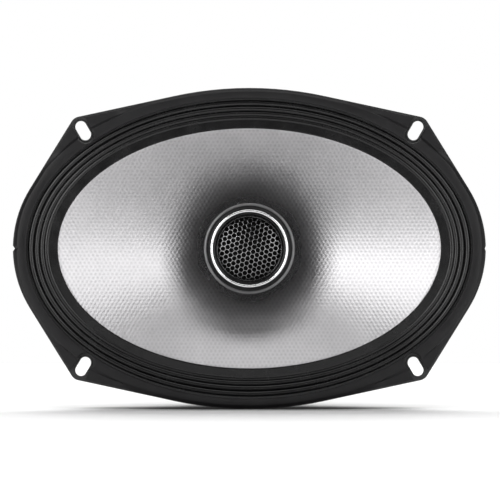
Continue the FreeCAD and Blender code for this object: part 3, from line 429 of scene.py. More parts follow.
# ------------------------ mesh helpers
def piece(name, points, faces, finish, body=None, stands_for=(), crease=34.0):
    """Mesh object from points in millimetres, with its finish, its body and the CAD nodes it replaces."""
    mesh = bpy.data.meshes.new(name)
    mesh.from_pydata((np.asarray(points, float) * MM).tolist(), [], faces)
    work = bmesh.new()
    work.from_mesh(mesh)
    bmesh.ops.remove_doubles(work, verts=work.verts, dist=1e-7)
    bmesh.ops.recalc_face_normals(work, faces=work.faces)
    work.to_mesh(mesh)
    work.free()
    mesh.shade_smooth()
    mesh.set_sharp_from_angle(angle=math.radians(crease))
    mesh.materials.append(FINISH[finish])
    obj = bpy.data.objects.new(name, mesh)
    bpy.context.scene.collection.objects.link(obj)
    if body:
        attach(obj, body)
    if stands_for:
        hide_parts(*stands_for)
    return obj


def skin(loops, closed=True):
    """Points and quads through a list of equal loops; closed joins the last to the first."""
    loops = np.asarray(loops, float)
    count, around = loops.shape[:2]
    rows = count if closed else count - 1
    i = np.arange(rows)[:, None]
    k = np.arange(around)[None, :]
    j = (i + 1) % count
    after = (k + 1) % around
    quads = np.stack([i * around + k, i * around + after, j * around + after, j * around + k], -1)
    return loops.reshape(-1, 3), quads.reshape(-1, 4).tolist()


def capped(loops):
    """Points and faces of an open skin whose first and last loops get flat ends."""
    points, faces = skin(loops, closed=False)
    around = len(loops[0])
    last = len(points) - around
    faces.append(list(range(around)))
    faces.append([last + k for k in reversed(range(around))])
    return points, faces


def joined(parts):
    """One list of points and one of faces from several such pairs."""
    points = []
    faces = []
    base = 0
    for found, quads in parts:
        points.append(found)
        faces += [[base + v for v in quad] for quad in quads]
        base += len(found)
    return np.vstack(points), faces


def ovals(sections, steps=OVAL_STEPS):
    """Elliptical loops from (half_x, half_z, y) rows."""
    t = np.linspace(0, 2 * math.pi, steps, endpoint=False)
    return [np.stack([a * np.cos(t), np.full(steps, y), b * np.sin(t)], -1) for a, b, y in sections]


def filleted(outline, reach, steps=3):
    """Closed (radius, y) outline with its corners rounded."""
    smooth = []
    count = len(outline)
    for i, corner in enumerate(outline):
        corner = np.array(corner, float)
        sides = []
        for other in (outline[i - 1], outline[(i + 1) % count]):
            run = np.array(other, float) - corner
            length = np.linalg.norm(run)
            sides.append(corner + run / length * min(reach, 0.42 * length))
        for step in range(steps + 1):
            t = step / steps
            smooth.append((1 - t) ** 2 * sides[0] + 2 * t * (1 - t) * corner + t * t * sides[1])
    return smooth


def lathe(name, outline, finish, body, stands_for=(), reach=0.25, steps=ROUND_STEPS, crease=34.0):
    """Piece turned about the Y axis from a closed (radius, y) outline."""
    smooth = filleted(outline, reach)
    points, faces = skin(ovals([(r, r, y) for r, y in smooth], steps))
    return piece(name, points, faces, finish, body, stands_for, crease)


def tube_along(path, radius, around=12, ripple=0.0, lay=5.0):
    """Points and faces of a tube along path; ripple raises slanting strands on it."""
    path = np.asarray(path, float)
    tangents = np.gradient(path, axis=0)
    tangents /= np.linalg.norm(tangents, axis=1)[:, None]
    side = np.cross(tangents[0], (0.3, 0.1, 0.9))
    loops = []
    travelled = 0.0
    for i, (centre, ahead) in enumerate(zip(path, tangents)):
        side = side - ahead * side.dot(ahead)
        side /= np.linalg.norm(side)
        other = np.cross(ahead, side)
        if i:
            travelled += np.linalg.norm(centre - path[i - 1])
        t = np.linspace(0, 2 * math.pi, around, endpoint=False)
        wave = ripple * np.maximum(np.sin(4 * t + travelled * lay), np.sin(4 * t - travelled * lay))
        reach = (radius - ripple + wave)[:, None]
        loops.append(centre + reach * (np.cos(t)[:, None] * side + np.sin(t)[:, None] * other))
    return capped(loops)


def smooth_path(route, spacing=0.4):
    """Points along a cubic NURBS curve through the neighbourhood of the route's points."""
    curve = bpy.data.curves.new("route", "CURVE")
    curve.dimensions = "3D"
    curve.resolution_u = 24
    spline = curve.splines.new("NURBS")
    spline.points.add(len(route) - 1)
    for point, place in zip(spline.points, route):
        point.co = (*place, 1.0)
    spline.order_u = 3
    spline.use_endpoint_u = True
    holder = bpy.data.objects.new("route", curve)
    mesh = bpy.data.meshes.new_from_object(holder)
    found = np.array([v.co for v in mesh.vertices], float)
    bpy.data.objects.remove(holder)
    bpy.data.curves.remove(curve)
    bpy.data.meshes.remove(mesh)
    runs = np.linalg.norm(np.diff(found, axis=0), axis=1)
    along = np.concatenate([[0.0], np.cumsum(runs)])
    wanted = np.linspace(0.0, along[-1], int(along[-1] / spacing) + 2)
    return np.stack([np.interp(wanted, along, found[:, i]) for i in range(3)], -1)


def blob(name, centre, radii, finish, body, seed=0, rings=14, around=20):
    """Small uneven drop of solder or glue."""
    rng = np.random.default_rng(seed)
    phase = rng.uniform(0, 2 * math.pi, 3)
    t = np.linspace(0, 2 * math.pi, around, endpoint=False)
    loops = []
    for i in range(1, rings):
        v = math.pi * i / rings
        uneven = 1.0 + 0.08 * np.sin(2 * t + phase[0]) * math.sin(v)
        uneven += 0.05 * np.sin(3 * t + phase[1] + v)
        loops.append(np.stack([
            centre[0] + radii[0] * math.sin(v) * np.cos(t) * uneven,
            np.full(around, centre[1] + radii[1] * math.cos(v)),
            centre[2] + radii[2] * math.sin(v) * np.sin(t) * uneven], -1))
    points, faces = skin(loops, closed=False)
    points = np.vstack([points, [centre[0], centre[1] + radii[1], centre[2]],
                        [centre[0], centre[1] - radii[1], centre[2]]])
    top = len(points) - 2
    start = (rings - 2) * around
    for k in range(around):
        after = (k + 1) % around
        faces.append([top, after, k])
        faces.append([top + 1, start + k, start + after])
    return piece(name, points, faces, finish, body, crease=80.0)


def glue_bead(name, radius, y, size, finish, body, seed):
    """Ring of glue laid by hand: a torus whose height and width wander."""
    rng = np.random.default_rng(seed)
    phase = rng.uniform(0, 2 * math.pi, 6)
    t = np.linspace(0, 2 * math.pi, 240, endpoint=False)
    wander = sum(np.sin((5 + 4 * i) * t + phase[i]) for i in range(6)) / 6
    loops = []
    for v in np.linspace(0, 2 * math.pi, 12, endpoint=False):
        thick = size * (1.0 + 0.35 * wander)
        r = radius + thick * math.cos(v) * 1.3
        loops.append(np.stack([r * np.cos(t), y + thick * math.sin(v), r * np.sin(t)], -1))
    points, faces = skin(loops)
    return piece(name, points, faces, finish, body, crease=80.0)


def smoothstep(values, start, end):
    """0 up to start, 1 from end on, and an even curve between them."""
    t = np.clip((np.asarray(values, float) - start) / (end - start), 0.0, 1.0)
    return t * t * (3 - 2 * t)


def bend_with(obj):
    """Bake obj's transform into its mesh."""
    # The stretch from start to end only has to be valid: the shares below take its place.
    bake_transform(obj)


def mesh_points(obj):
    """The object's vertices in millimetres."""
    flat = np.zeros(len(obj.data.vertices) * 3)
    obj.data.vertices.foreach_get("co", flat)
    return flat.reshape(-1, 3) / MM


# ------------------------ front trim ring
def flange_outline(inset, count=5600):
    """Flange edge moved inwards, as evenly spaced points ordered by angle."""
    side = np.array([math.cos(math.radians(SIDE_LINE_TILT)), math.sin(math.radians(SIDE_LINE_TILT))])
    top = np.array([math.sin(math.radians(TOP_LINE_TILT)), math.cos(math.radians(TOP_LINE_TILT))])
    side_centre = np.array([FLANGE_HALF[0] - SIDE_ARC_R, 0.0])
    top_centre = np.array([0.0, FLANGE_HALF[1] - TOP_ARC_R])
    reaches = [side @ side_centre + SIDE_ARC_R - EAR_R, top @ top_centre + TOP_ARC_R - EAR_R]
    ear_centre = np.linalg.solve(np.array([side, top]), reaches)
    runs = [(side_centre, SIDE_ARC_R, 0.0, SIDE_LINE_TILT),
            (ear_centre, EAR_R, SIDE_LINE_TILT, 90.0 - TOP_LINE_TILT),
            (top_centre, TOP_ARC_R, 90.0 - TOP_LINE_TILT, 90.0)]
    quarter = []
    for centre, radius, first, last in runs:
        for angle in np.radians(np.linspace(first, last, 40)):
            quarter.append(centre + (radius - inset) * np.array([math.cos(angle), math.sin(angle)]))
    quarter = np.array(quarter)
    mirrored = quarter[::-1] * (-1, 1)
    half = np.vstack([quarter, mirrored])
    whole = np.vstack([half, half[::-1] * (1, -1)])
    along = np.concatenate([[0.0], np.cumsum(np.linalg.norm(np.diff(whole, axis=0), axis=1))])
    wanted = np.linspace(0, along[-1], count)
    return np.stack([np.interp(wanted, along, whole[:, i]) for i in range(2)], -1)


def reach_of(outline, angles):
    """Distance from the centre to an outline at each angle."""
    theta = np.mod(np.arctan2(outline[:, 1], outline[:, 0]), 2 * math.pi)
    order = np.argsort(theta)
    return np.interp(angles, theta[order], np.hypot(*outline.T)[order], period=2 * math.pi)


def superellipse_reach(half, angles, power):
    """Distance from the centre to a superellipse at each angle."""
    c, s = np.abs(np.cos(angles)), np.abs(np.sin(angles))
    return ((c / half[0]) ** power + (s / half[1]) ** power) ** (-1.0 / power)


def in_slot_frame(points, sx, sz):
    """Turn points drawn along +X about the origin into place at one screw slot."""
    c = sx * math.cos(math.radians(SLOT_TILT))
    s = sz * math.sin(math.radians(SLOT_TILT))
    x = sx * SLOT_CENTRE[0] + c * points[:, 0] - s * points[:, 2]
    z = sz * SLOT_CENTRE[1] + s * points[:, 0] + c * points[:, 2]
    return np.stack([x, points[:, 1], z], -1)


def scallop_loop(grow, y, reach=16.0, steps=24):
    """Outline of the screw-head recess, grown sideways, at one depth."""
    inner = -(SLOT_LENGTH / 2 - SLOT_R) - SCALLOP_SHIFT
    flare = math.radians(SCALLOP_FLARE)
    radius = SCALLOP_R + grow
    start = math.pi / 2 + flare
    points = []
    for angle in np.linspace(start, 2 * math.pi - start, steps):
        points.append((inner + radius * math.cos(angle), y, radius * math.sin(angle)))
    first = np.array(points[0])
    far_z = first[2] + (reach - first[0]) * math.tan(flare)
    points.append((reach, y, -far_z))
    points.append((reach, y, far_z))
    return np.array(points)


def scallop_cutters():
    """Four recess cutters whose rims are chamfered where they leave the trim's face."""
    parts = []
    for corner in SLOT_CORNERS:
        loops = [in_slot_frame(scallop_loop(grow, y), *corner) for grow, y in SCALLOP_DEPTHS]
        parts.append(capped(loops))
    return joined(parts)


def trim_sections(steps=1440):
    """Loops of the trim from its inner foot over the face and the ears to its outer foot."""
    t = np.linspace(0, 2 * math.pi, steps, endpoint=False)
    angles = np.arctan2(TRIM_TOP_HALF[1] * np.sin(t), TRIM_TOP_HALF[0] * np.cos(t))
    angles = np.mod(angles, 2 * math.pi)
    c, s = np.cos(angles), np.sin(angles)

    ear = reach_of(flange_outline(EAR_INSET), angles)
    limit = reach_of(flange_outline(BEVEL_INSET), angles)
    foot = superellipse_reach(TRIM_FOOT_HALF, angles, TRIM_FOOT_POWER)
    outer = np.maximum(ear, np.minimum(limit, foot))
    notch = np.clip(1.0 - np.abs(outer * s) / MOULD_NOTCH_HALF, 0.0, 1.0) * (np.abs(c) > 0.9)
    outer = outer - notch * np.where(c < 0, MOULD_NOTCH_LEFT, MOULD_NOTCH_RIGHT)
    inner = 1.0 / np.hypot(c / TRIM_INNER_HALF[0], s / TRIM_INNER_HALF[1])
    face = np.minimum(superellipse_reach(TRIM_TOP_HALF, angles, TRIM_FACE_POWER), outer - TRIM_LEAST_WIDTH)

    # wide is 1 at the ears, where the trim steps down, and 0 where only a bevel is left.
    width = outer - face
    wide = smoothstep(width, TRIM_NARROW, TRIM_WIDE)
    slope = width * (0.85 + 0.07 * wide)
    drop = BEVEL_DROP * (1 - wide) + EAR_DROP * wide

    rows = [(inner, PLATE_FRONT_Y), (inner, TRIM_FRONT_Y + 0.6)]
    for share in (0.25, 0.6, 1.0):
        angle = share * math.pi / 2
        rows.append((inner + TRIM_INNER_ROUNDING * (1 - math.cos(angle)),
                     TRIM_FRONT_Y + TRIM_INNER_ROUNDING * (1 - math.sin(angle))))
    rows.append((inner * 0.5 + face * 0.5, TRIM_FRONT_Y))
    rows.append((face - 0.3, TRIM_FRONT_Y))
    for share in (0.0, 0.05, 0.1, 0.16, 0.22, 0.3, 0.5, 0.75, 0.92, 1.0):
        bevel_fall = smoothstep(share, -0.25, 1.15)
        ear_fall = smoothstep(share, -0.02, 0.3)
        rows.append((face + slope * share,
                     TRIM_FRONT_Y + drop * ((1 - wide) * bevel_fall + wide * ear_fall)))
    end_y = rows[-1][1]
    edge_r = np.minimum(TRIM_EDGE_R, (width - slope) * 0.9)
    for share in (0.0, 0.3, 0.6, 0.85, 1.0):
        angle = share * math.pi / 2
        rows.append((outer - edge_r * (1 - math.sin(angle)), end_y + edge_r * (1 - math.cos(angle))))
    rows.append((outer, PLATE_FRONT_Y))
    return [np.stack([r * c, np.broadcast_to(y, r.shape), r * s], -1) for r, y in rows]


def trim_ring():
    """Moulded ring: a flat oval face, ears a step lower, and a recess at each screw slot."""
    ring = piece("trim_ring", *skin(trim_sections()), "trim_plastic")
    cutter = piece("trim_cutter", *scallop_cutters(), "trim_plastic")
    cut = ring.modifiers.new("scallops", "BOOLEAN")
    cut.operation = "DIFFERENCE"
    cut.solver = "EXACT"
    cut.object = cutter
    graph = bpy.context.evaluated_depsgraph_get()
    result = bpy.data.meshes.new_from_object(ring.evaluated_get(graph))
    ring.modifiers.clear()
    ring.data = result
    bpy.data.objects.remove(cutter)
    result.shade_smooth()
    result.set_sharp_from_angle(angle=math.radians(24.0))
    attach(ring, "frame")
    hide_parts("front_trim_ring")


def slot_lips():
    """Moulded lip round each screw slot, bevelled towards the hole."""
    # How far the lip reaches out from the slot's edge, and its height over the plate.
    section = ((0.04, 0.02), (0.10, 0.22), (0.48, 0.62), (0.62, 0.66), (0.74, 0.55), (0.78, -0.3),
               (0.30, -0.3))
    half = SLOT_LENGTH / 2 - SLOT_R
    parts = []
    for corner in SLOT_CORNERS:
        loops = []
        for grow, height in section:
            radius = SLOT_R + grow
            y = PLATE_FRONT_Y - height
            loop = []
            for side, first in ((1, -90.0), (-1, 90.0)):
                for angle in np.radians(np.linspace(first, first + 180.0, 24)):
                    loop.append((side * half + radius * math.cos(angle), y, radius * math.sin(angle)))
            loops.append(in_slot_frame(np.array(loop), *corner))
        parts.append(skin(loops))
    piece("slot_lips", *joined(parts), "lip_plastic", "frame")


# ------------------------ cone, surround, spider
def cone():
    """Oval diaphragm: flat rim, slightly bowed wall, round neck."""
    def oval(share, y):
        return tuple(COIL_FORMER_R + (edge - COIL_FORMER_R) * share for edge in CONE_EDGE_HALF) + (y,)

    def height(share):
        return CONE_NECK_Y + (CONE_FRONT_Y - CONE_NECK_Y) * share ** CONE_BOW

    rim = tuple(edge + CONE_RIM_WIDTH for edge in CONE_EDGE_HALF)
    shares = np.linspace(0.0, 1.0, 44)
    front = [oval(share, height(share)) for share in shares[::-1]]
    back = [oval(share, height(share) + CONE_THICK) for share in shares]
    front.insert(0, (*rim, CONE_FRONT_Y))
    back.append((*rim, CONE_FRONT_Y + CONE_THICK))
    points, faces = skin(ovals(front + back))
    piece("speaker_cone", points, faces, "cone_weave", "cone_assembly", ("cone",), 40.0)


def roll_front(distance):
    """Front face of the surround at a distance out from the cone's visible edge."""
    for start, end, height in ROLLS:
        if start <= distance <= end:
            share = (distance - start) / (end - start)
            return LIP_FRONT_Y - height * max(math.sin(math.pi * share), 0.0) ** ROLL_SHAPE
    return LIP_FRONT_Y


def surround():
    """Rubber edge: a flat landing on the cone, four rolls and a glued rim."""
    width = SURROUND_OUTER_HALF[0] - CONE_EDGE_HALF[0]
    squeeze = (SURROUND_OUTER_HALF[1] - CONE_EDGE_HALF[1]) / width
    # Distances out from the cone's visible edge: the flat landing, then each roll in shares.
    stations = [0.0, 0.06, 0.15, 0.3, 1.2, 2.4, 3.4, 3.9, 4.06]
    shares = (0.0, 0.03, 0.08, 0.15, 0.25, 0.37, 0.5, 0.63, 0.75, 0.85, 0.92, 0.97)
    for start, end, _ in ROLLS:
        stations += [start + (end - start) * share for share in shares]
    stations += [ROLLS[-1][1], width]
    front = []
    for d in stations:
        short = LIP_ROUNDING - min(d, LIP_ROUNDING)
        rounding = LIP_ROUNDING - math.sqrt(LIP_ROUNDING ** 2 - short ** 2)
        front.append((d, roll_front(d) + rounding))
    back = []
    for d in reversed(stations):
        glued = d >= SURROUND_GLUED_FROM
        back.append((d, PLATE_FRONT_Y if glued else roll_front(d) + SURROUND_THICK))
    sections = [(CONE_EDGE_HALF[0] + d, CONE_EDGE_HALF[1] + d * squeeze, y) for d, y in front + back]
    points, faces = skin(ovals(sections))
    obj = piece("edge_roll", points, faces, "surround_rubber", None, ("cone_surround",), 50.0)
    found = mesh_points(obj)
    # Halving finds each point's distance out from the cone's edge, in the ovals that the rolls follow.
    low = np.zeros(len(found))
    high = np.full(len(found), width)
    for _ in range(24):
        middle = (low + high) / 2
        inside = np.hypot(found[:, 0] / (CONE_EDGE_HALF[0] + middle),
                          found[:, 2] / (CONE_EDGE_HALF[1] + middle * squeeze)) < 1.0
        high = np.where(inside, middle, high)
        low = np.where(inside, low, middle)
    bend_with(obj)


def spider():
    """Corrugated cloth disc between the coil former and the basket's shelf."""
    landing = SHELF_FRONT_Y - SPIDER_THICK
    end = SPIDER_START_R + SPIDER_PITCH * SPIDER_WAVES
    radii = [COIL_FORMER_R + 0.1, 17.2, 18.4, 19.4]
    radii += list(np.linspace(SPIDER_START_R, end, SPIDER_WAVES * 14 + 1))
    radii += [46.0, 48.0, SPIDER_OUTER_R]

    def wave(r):
        if r < SPIDER_START_R or r > end:
            return landing
        return landing + SPIDER_HEIGHT * math.sin(2 * math.pi * (r - SPIDER_START_R) / SPIDER_PITCH)

    front = [(r, r, wave(r)) for r in radii]
    back = [(r, r, wave(r) + SPIDER_THICK) for r in reversed(radii)]
    points, faces = skin(ovals(front + back, 220))
    obj = piece("centring_spider", points, faces, "spider_cloth", None, ("spider",), 60.0)
    found = mesh_points(obj)
    bend_with(obj)


def tinsel_leads():
    """Braided leads between the terminals and the coil former, each with solder and a drop of glue."""
    for sign, name in ((-1, "positive"), (1, "negative")):
        x = sign * TAB_X
        route = [(x, 32.6, TAB_Z), (x, 28.0, TAB_Z + 2.0), (x - sign * 1.0, 23.5, -53.0),
                 (x - sign * 3.0, 22.5, -43.0), (x - sign * 6.0, 26.5, -32.0),
                 (x - sign * 9.5, 31.0, -24.0), (x - sign * 10.5, 32.3, -17.1)]
        path = smooth_path(route)
        points, faces = tube_along(path, TINSEL_R, 24, TINSEL_RIPPLE, TINSEL_LAY)
        obj = piece("tinsel_" + name, points, faces, "tinsel_braid", None,
                    ("tinsel_lead_" + name,), 80.0)
        found = mesh_points(obj)
        bend_with(obj)
        blob("solder_" + name, (x, 33.2, TAB_Z), (1.9, 1.0, 1.5), "solder", "frame", 3 + sign)
        blob("glue_" + name, (x - sign * 10.5, 32.1, -16.9), (1.7, 1.2, 1.1), "glue",
             "cone_assembly", 13 + sign)


# ------------------------ tweeter
def tweeter_shells():
    """Housing with its pedestal and thin rim, the bright ring, its bevel and the grille's seat."""
    head_seat = HOUSING_FLOOR_Y + POST_HEAD_H
    housing = [
        (CHROME_OUTER_R, -0.4), (22.2, -0.4), (22.6, 0.2), (TWEETER_R, 5.0), (21.8, 10.0), (19.6, 15.0),
        (16.5, 19.0), (12.5, 21.5), (11.2, 24.0), (PEDESTAL_R, 30.0), (PEDESTAL_R, POLE_FRONT_Y),
        (POLE_BORE_R, POLE_FRONT_Y), (POLE_BORE_R, head_seat), (POST_HEAD_R + 0.1, head_seat),
        (POST_HEAD_R + 0.1, HOUSING_FLOOR_Y), (RECESS_SHELF_R, HOUSING_FLOOR_Y),
        (RECESS_SHELF_R, RECESS_SHELF_Y), (RECESS_R, RECESS_SHELF_Y), (RECESS_R, SHELL_SEAT_Y),
        (CHROME_OUTER_R, SHELL_SEAT_Y),
    ]
    lathe("tweeter_body", housing, "tweeter_plastic", "frame", ("tweeter_housing",), 0.6, 200)
    rim = [(RIM_INNER_R, -0.3), (RIM_INNER_R, -0.75), (21.8, -1.15), (22.3, -1.15), (TWEETER_R, -0.7),
           (TWEETER_R, 0.9), (22.5, 1.0)]
    lathe("tweeter_rim", rim, "tweeter_rim", "frame", (), 0.3, 240, 60.0)
    middle = (CHROME_OUTER_R + CHROME_INNER_R) / 2
    half = (CHROME_OUTER_R - CHROME_INNER_R) / 2
    ring = [(CHROME_OUTER_R, SHELL_SEAT_Y), (CHROME_OUTER_R, CHROME_ROUND_Y)]
    for i in range(1, 12):
        angle = math.pi * i / 12
        ring.append((middle + half * math.cos(angle), CHROME_ROUND_Y - half * math.sin(angle)))
    ring.append((CHROME_INNER_R, SHELL_SEAT_Y))
    lathe("bright_ring", ring, "chrome_trim", "frame", ("chrome_ring",), 0.12, 240, 60.0)
    bevel = [(CHROME_INNER_R + 0.05, 4.5)]
    for angle in np.linspace(0.0, math.pi, 9):
        bevel.append((BEVEL_MIDDLE_R + BEVEL_ROUND * math.cos(angle),
                      BEVEL_ROUND_Y - BEVEL_ROUND * math.sin(angle)))
    bevel += [(GRILLE_R + 0.1, 2.6), (GRILLE_R + 0.1, 3.9), (CHROME_INNER_R - 0.25, 4.5)]
    lathe("grille_bevel", bevel, "gloss_bevel", "frame", (), 0.12, 240, 60.0)
    seat = [(GRILLE_R + 0.1, GRILLE_EDGE_Y + 0.7), (GRILLE_R - GRILLE_BORDER, GRILLE_EDGE_Y + 0.7),
            (GRILLE_R - GRILLE_BORDER, GRILLE_EDGE_Y + 1.5), (RECESS_R, GRILLE_EDGE_Y + 1.5),
            (RECESS_R, GRILLE_EDGE_Y + 1.4)]
    lathe("grille_seat", seat, "grille_trim", "frame", ("grille_ring",), 0.15)


def cap_radius(half, rise):
    """Radius of the sphere whose cap is 2 * half wide and rise high."""
    return (half ** 2 + rise ** 2) / (2 * rise)


def dome_height(r):
    """Front face of the grille's dome at a radius."""
    sphere = cap_radius(GRILLE_R, GRILLE_RISE)
    return GRILLE_EDGE_Y - GRILLE_RISE + sphere - np.sqrt(np.maximum(sphere ** 2 - r ** 2, 0.0))


def hexagon(turn, per_side):
    """Points round a hexagon of unit radius, with per_side points to a side."""
    angles = turn + np.radians(60.0 * np.arange(6) + 30.0)
    corners = np.stack([np.cos(angles), np.sin(angles)], -1)
    points = []
    for corner, after in zip(corners, np.roll(corners, -1, axis=0)):
        for share in np.arange(per_side) / per_side:
            points.append(corner * (1 - share) + after * share)
    return np.array(points)


def grille():
    """Domed mesh of hexagonal holes with rounded wires, and its solid border."""
    turn = math.radians(GRILLE_TURN)
    border = GRILLE_R - GRILLE_BORDER
    outline = hexagon(turn, per_side=2)
    rounder = outline / np.linalg.norm(outline, axis=1)[:, None] * 0.93
    cell = outline * GRILLE_PITCH / math.sqrt(3)
    hole = (0.6 * outline + 0.4 * rounder) * GRILLE_HOLE / math.sqrt(3)
    row_pitch = GRILLE_PITCH * math.sin(math.radians(60.0))
    rows = int(GRILLE_R / row_pitch) + 1
    parts = []
    for row in range(-rows, rows + 1):
        for column in range(-rows - 1, rows + 2):
            u = (column + (0.5 if row % 2 else 0.0)) * GRILLE_PITCH
            v = row * row_pitch
            if math.hypot(u, v) > GRILLE_R:
                continue
            centre = np.array([u * math.cos(turn) - v * math.sin(turn),
                               u * math.sin(turn) + v * math.cos(turn)])
            loops = []
            for share, depth in GRILLE_WIRE:
                flat = centre + cell * (1 - share) + hole * share
                # A cell that crosses the border is pulled in to end on it.
                flat *= np.minimum(1.0, border / np.maximum(np.hypot(*flat.T), 1e-6))[:, None]
                y = dome_height(np.hypot(*flat.T)) + depth
                loops.append(np.stack([flat[:, 0], y, flat[:, 1]], -1))
            parts.append(skin(loops, closed=False))
    points, faces = joined(parts)
    kept = []
    for face in faces:
        corner = points[face]
        area = np.linalg.norm(np.cross(corner[2] - corner[0], corner[3] - corner[1])) / 2
        if area > SMALLEST_FACE:
            kept.append(face)
    edge = [(border - 0.05, float(dome_height(border))),
            (GRILLE_R - 0.3, float(dome_height(GRILLE_R - 0.3))),
            (GRILLE_R, GRILLE_EDGE_Y + 0.2), (GRILLE_R, GRILLE_EDGE_Y + 0.68),
            (border - 0.05, GRILLE_EDGE_Y + 0.68)]
    ring = skin(ovals([(r, r, y) for r, y in filleted(edge, 0.12)], 120))
    piece("tweeter_mesh", *joined([(points, kept), ring]), "grille_mesh", "frame",
          ("tweeter_grille",), 50.0)


def tweeter_diaphragm():
    """Soft dome and its half-roll edge."""
    sphere = cap_radius(DOME_R, DOME_RISE)
    section = []
    for r in np.linspace(0.02, DOME_R, 22):
        section.append((r, DOME_Y - DOME_RISE + sphere - math.sqrt(sphere ** 2 - r ** 2)))
    inner = [(r, y + DOME_THICK) for r, y in reversed(section[:-1])]
    skirt = [(DOME_R, 12.4), (DOME_R - 0.25, 12.4), (DOME_R - 0.25, DOME_Y + 0.1)]
    points, faces = skin(ovals([(r, r, y) for r, y in section + skirt + inner], 120))
    piece("soft_dome", points, faces, "dome_silk", "tweeter_diaphragm", ("tweeter_dome",), 50.0)
    start = DOME_R - 0.15
    middle = (start + DOME_EDGE_R) / 2
    half = (DOME_EDGE_R - start) / 2
    front = []
    for angle in np.linspace(0.0, math.pi, 15):
        front.append((middle - half * math.cos(angle), DOME_Y - half * math.sin(angle)))
    front.append((17.4, DOME_Y))
    back = [(r, y + DOME_EDGE_THICK) for r, y in reversed(front)]
    points, faces = skin(ovals([(r, r, y) for r, y in front + back], 140))
    obj = piece("soft_dome_edge", points, faces, "dome_silk", None, ("tweeter_surround",), 60.0)
    found = mesh_points(obj)
    bend_with(obj)


# ------------------------ glue and solder
def joints_and_beads():
    """Black glue seam where the rubber meets the cone, made dark enough to paint the shade of that joint;
    glue at the neck and spider, solder on the tabs.
    """
    seam = []
    for angle in np.linspace(0.0, 2 * math.pi, 8, endpoint=False):
        d = 0.22 * math.cos(angle) - 0.12
        y = CONE_FRONT_Y + 0.05 - 0.3 * math.sin(angle)
        seam.append((CONE_EDGE_HALF[0] + d, CONE_EDGE_HALF[1] + d, y))
    # The seam is a near-black glue bead that also paints the shade at the joint.
    piece("edge_glue", *skin(ovals(seam)), "edge_glue", "cone_assembly", crease=80.0)
    glue_bead("neck_glue", COIL_FORMER_R + 0.5, 31.2, 0.75, "glue", "cone_assembly", 21)
    glue_bead("spider_inner_glue", COIL_FORMER_R + 0.45, 33.9, 0.5, "glue", "cone_assembly", 22)
    glue_bead("spider_outer_glue", SPIDER_OUTER_R, 34.2, 0.55, "glue", "frame", 23)
    blob("solder_tab_positive", (-TAB_X - 3.0, 41.8, TAB_Z), (1.5, 1.5, 0.9), "solder", "frame", 31)
    blob("solder_tab_negative", (TAB_X, 41.0, TAB_Z + 0.8), (1.6, 1.5, 1.0), "solder", "frame", 32)


# ------------------------ stage, lights, camera
CAMERA_DISTANCE = 1.8
CAMERA_X = 0.000325
CAMERA_Z = -0.00075
VIEW_WIDTH = 0.25
SENSOR = 36.0
FRONT_FILL = 0.07
BACK_FILL = 0.55
FLOOR_Z = -FLANGE_HALF[1]
CONTACT_SHADOW = 0.032
# Name, place, width and height in metres, and watts; all of them aim at the origin.
LIGHTS = (
    ("key_left", (-0.9, -1.08, 0.34), (0.72, 1.3), 11.7),
    ("key_right", (0.9, -1.08, 0.34), (0.72, 1.3), 9.6),
    ("glint_left", (-0.42, -1.3, 0.27), (0.22, 0.22), 0.9),
    ("glint_right", (0.45, -1.3, -0.015), (0.22, 0.1), 0.5),
    ("overhead", (0.0, -0.45, 1.2), (1.2, 0.5), 3.7),
    ("top_back", (0.0, 0.9, 1.3), (2.4, 1.2), 31.0),
)


def floor_paper():
    """Pale paper with a painted contact shadow: its colour darkens where something stands close over it.
    """
    m = Nodes("floor_paper")
    grain = m.noise(m.place(), 30.0, 3.0)
    pale = m.ramp(grain, (0.3, (0.90, 0.90, 0.90)), (0.7, (0.92, 0.92, 0.92)))
    # Painted shadow: ambient occlusion near the speaker darkens the paper's colour.
    corner = m.add("ShaderNodeAmbientOcclusion", {"Distance": CONTACT_SHADOW}, samples=16)
    shade = m.ramp(corner.outputs["AO"], (0.5, (0.04, 0.04, 0.04)), (0.95, (1.0, 1.0, 1.0)))
    shadowed_paper = m.add("ShaderNodeMix", {0: 1.0, 6: pale, 7: shade}, data_type="RGBA",
                   blend_type="MULTIPLY").outputs[2]
    return m.finish(Base_Color=shadowed_paper, Roughness=0.9, Specular_IOR_Level=0.1)


def floor():
    """Plain floor, large enough to reach past the picture on every side."""
    count = 12
    across = np.linspace(-1200.0, 1200.0, count)
    along = np.linspace(-1000.0, 700.0, count)
    points = [(x, y, FLOOR_Z) for y in along for x in across]
    faces = []
    for start in range(0, count * (count - 1), count):
        for k in range(start, start + count - 1):
            faces.append([k, k + 1, k + count + 1, k + count])
    FINISH["floor_paper"] = floor_paper()
    piece("floor", points, faces, "floor_paper")


def area_light(name, place, size, watts):
    """Rectangular light that faces the origin."""
    data = bpy.data.lights.new(name, "AREA")
    data.shape = "RECTANGLE"
    data.size, data.size_y = size
    data.energy = watts
    obj = bpy.data.objects.new(name, data)
    obj.location = place
    obj.rotation_mode = "QUATERNION"
    obj.rotation_quaternion = (-Vector(place)).to_track_quat("-Z", "Y")
    bpy.context.scene.collection.objects.link(obj)


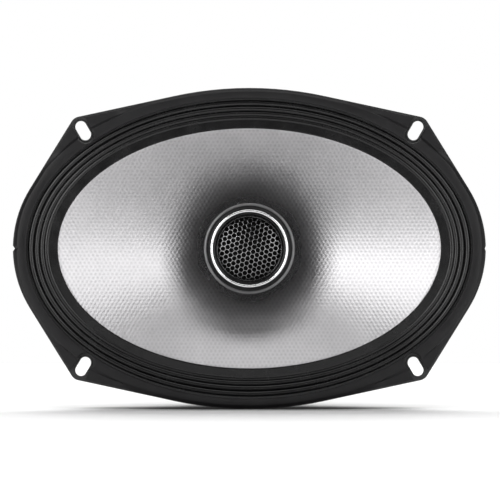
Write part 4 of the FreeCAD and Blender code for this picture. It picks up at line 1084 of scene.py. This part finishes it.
def surroundings():
    """White where the camera sees it; on the object, dim from the front and brighter from behind."""
    world = bpy.data.worlds.new("studio")
    world.use_nodes = True
    tree = world.node_tree
    back = tree.nodes["Background"]
    back.inputs["Color"].default_value = (1.0, 1.0, 1.0, 1.0)
    coords = tree.nodes.new("ShaderNodeTexCoord")
    split = tree.nodes.new("ShaderNodeSeparateXYZ")
    depth = tree.nodes.new("ShaderNodeMapRange")
    depth.interpolation_type = "SMOOTHSTEP"
    fill = {"From Min": -0.05, "From Max": 0.65, "To Min": FRONT_FILL, "To Max": BACK_FILL}
    for socket, value in fill.items():
        depth.inputs[socket].default_value = value
    seen = tree.nodes.new("ShaderNodeLightPath")
    either = tree.nodes.new("ShaderNodeMath")
    either.operation = "MAXIMUM"
    tree.links.new(coords.outputs["Generated"], split.inputs["Vector"])
    tree.links.new(split.outputs["Y"], depth.inputs["Value"])
    tree.links.new(depth.outputs["Result"], either.inputs[0])
    tree.links.new(seen.outputs["Is Camera Ray"], either.inputs[1])
    tree.links.new(either.outputs[0], back.inputs["Strength"])
    return world


def studio():
    """Lights left and right of the camera, above and behind; pale surroundings; the camera."""
    scene = bpy.context.scene
    scene.world = surroundings()
    scene.view_settings.view_transform = "Standard"
    for light in LIGHTS:
        area_light(*light)
    data = bpy.data.cameras.new("camera")
    data.sensor_width = SENSOR
    data.lens = SENSOR * (CAMERA_DISTANCE + TRIM_FRONT_Y * MM) / VIEW_WIDTH
    data.clip_start = 0.05
    data.clip_end = 50.0
    camera = bpy.data.objects.new("camera", data)
    camera.location = (CAMERA_X, -CAMERA_DISTANCE, CAMERA_Z)
    camera.rotation_euler = (math.radians(90.0), 0.0, 0.0)
    scene.collection.objects.link(camera)
    scene.camera = camera


# ------------------------ build
for node, obj in NODES.items():
    obj.data.materials.clear()
    obj.data.materials.append(FINISH[SLOT_OF[node]])

trim_ring()
slot_lips()
surround()
cone()
spider()
tinsel_leads()
tweeter_shells()
grille()
tweeter_diaphragm()
joints_and_beads()
floor()
studio()
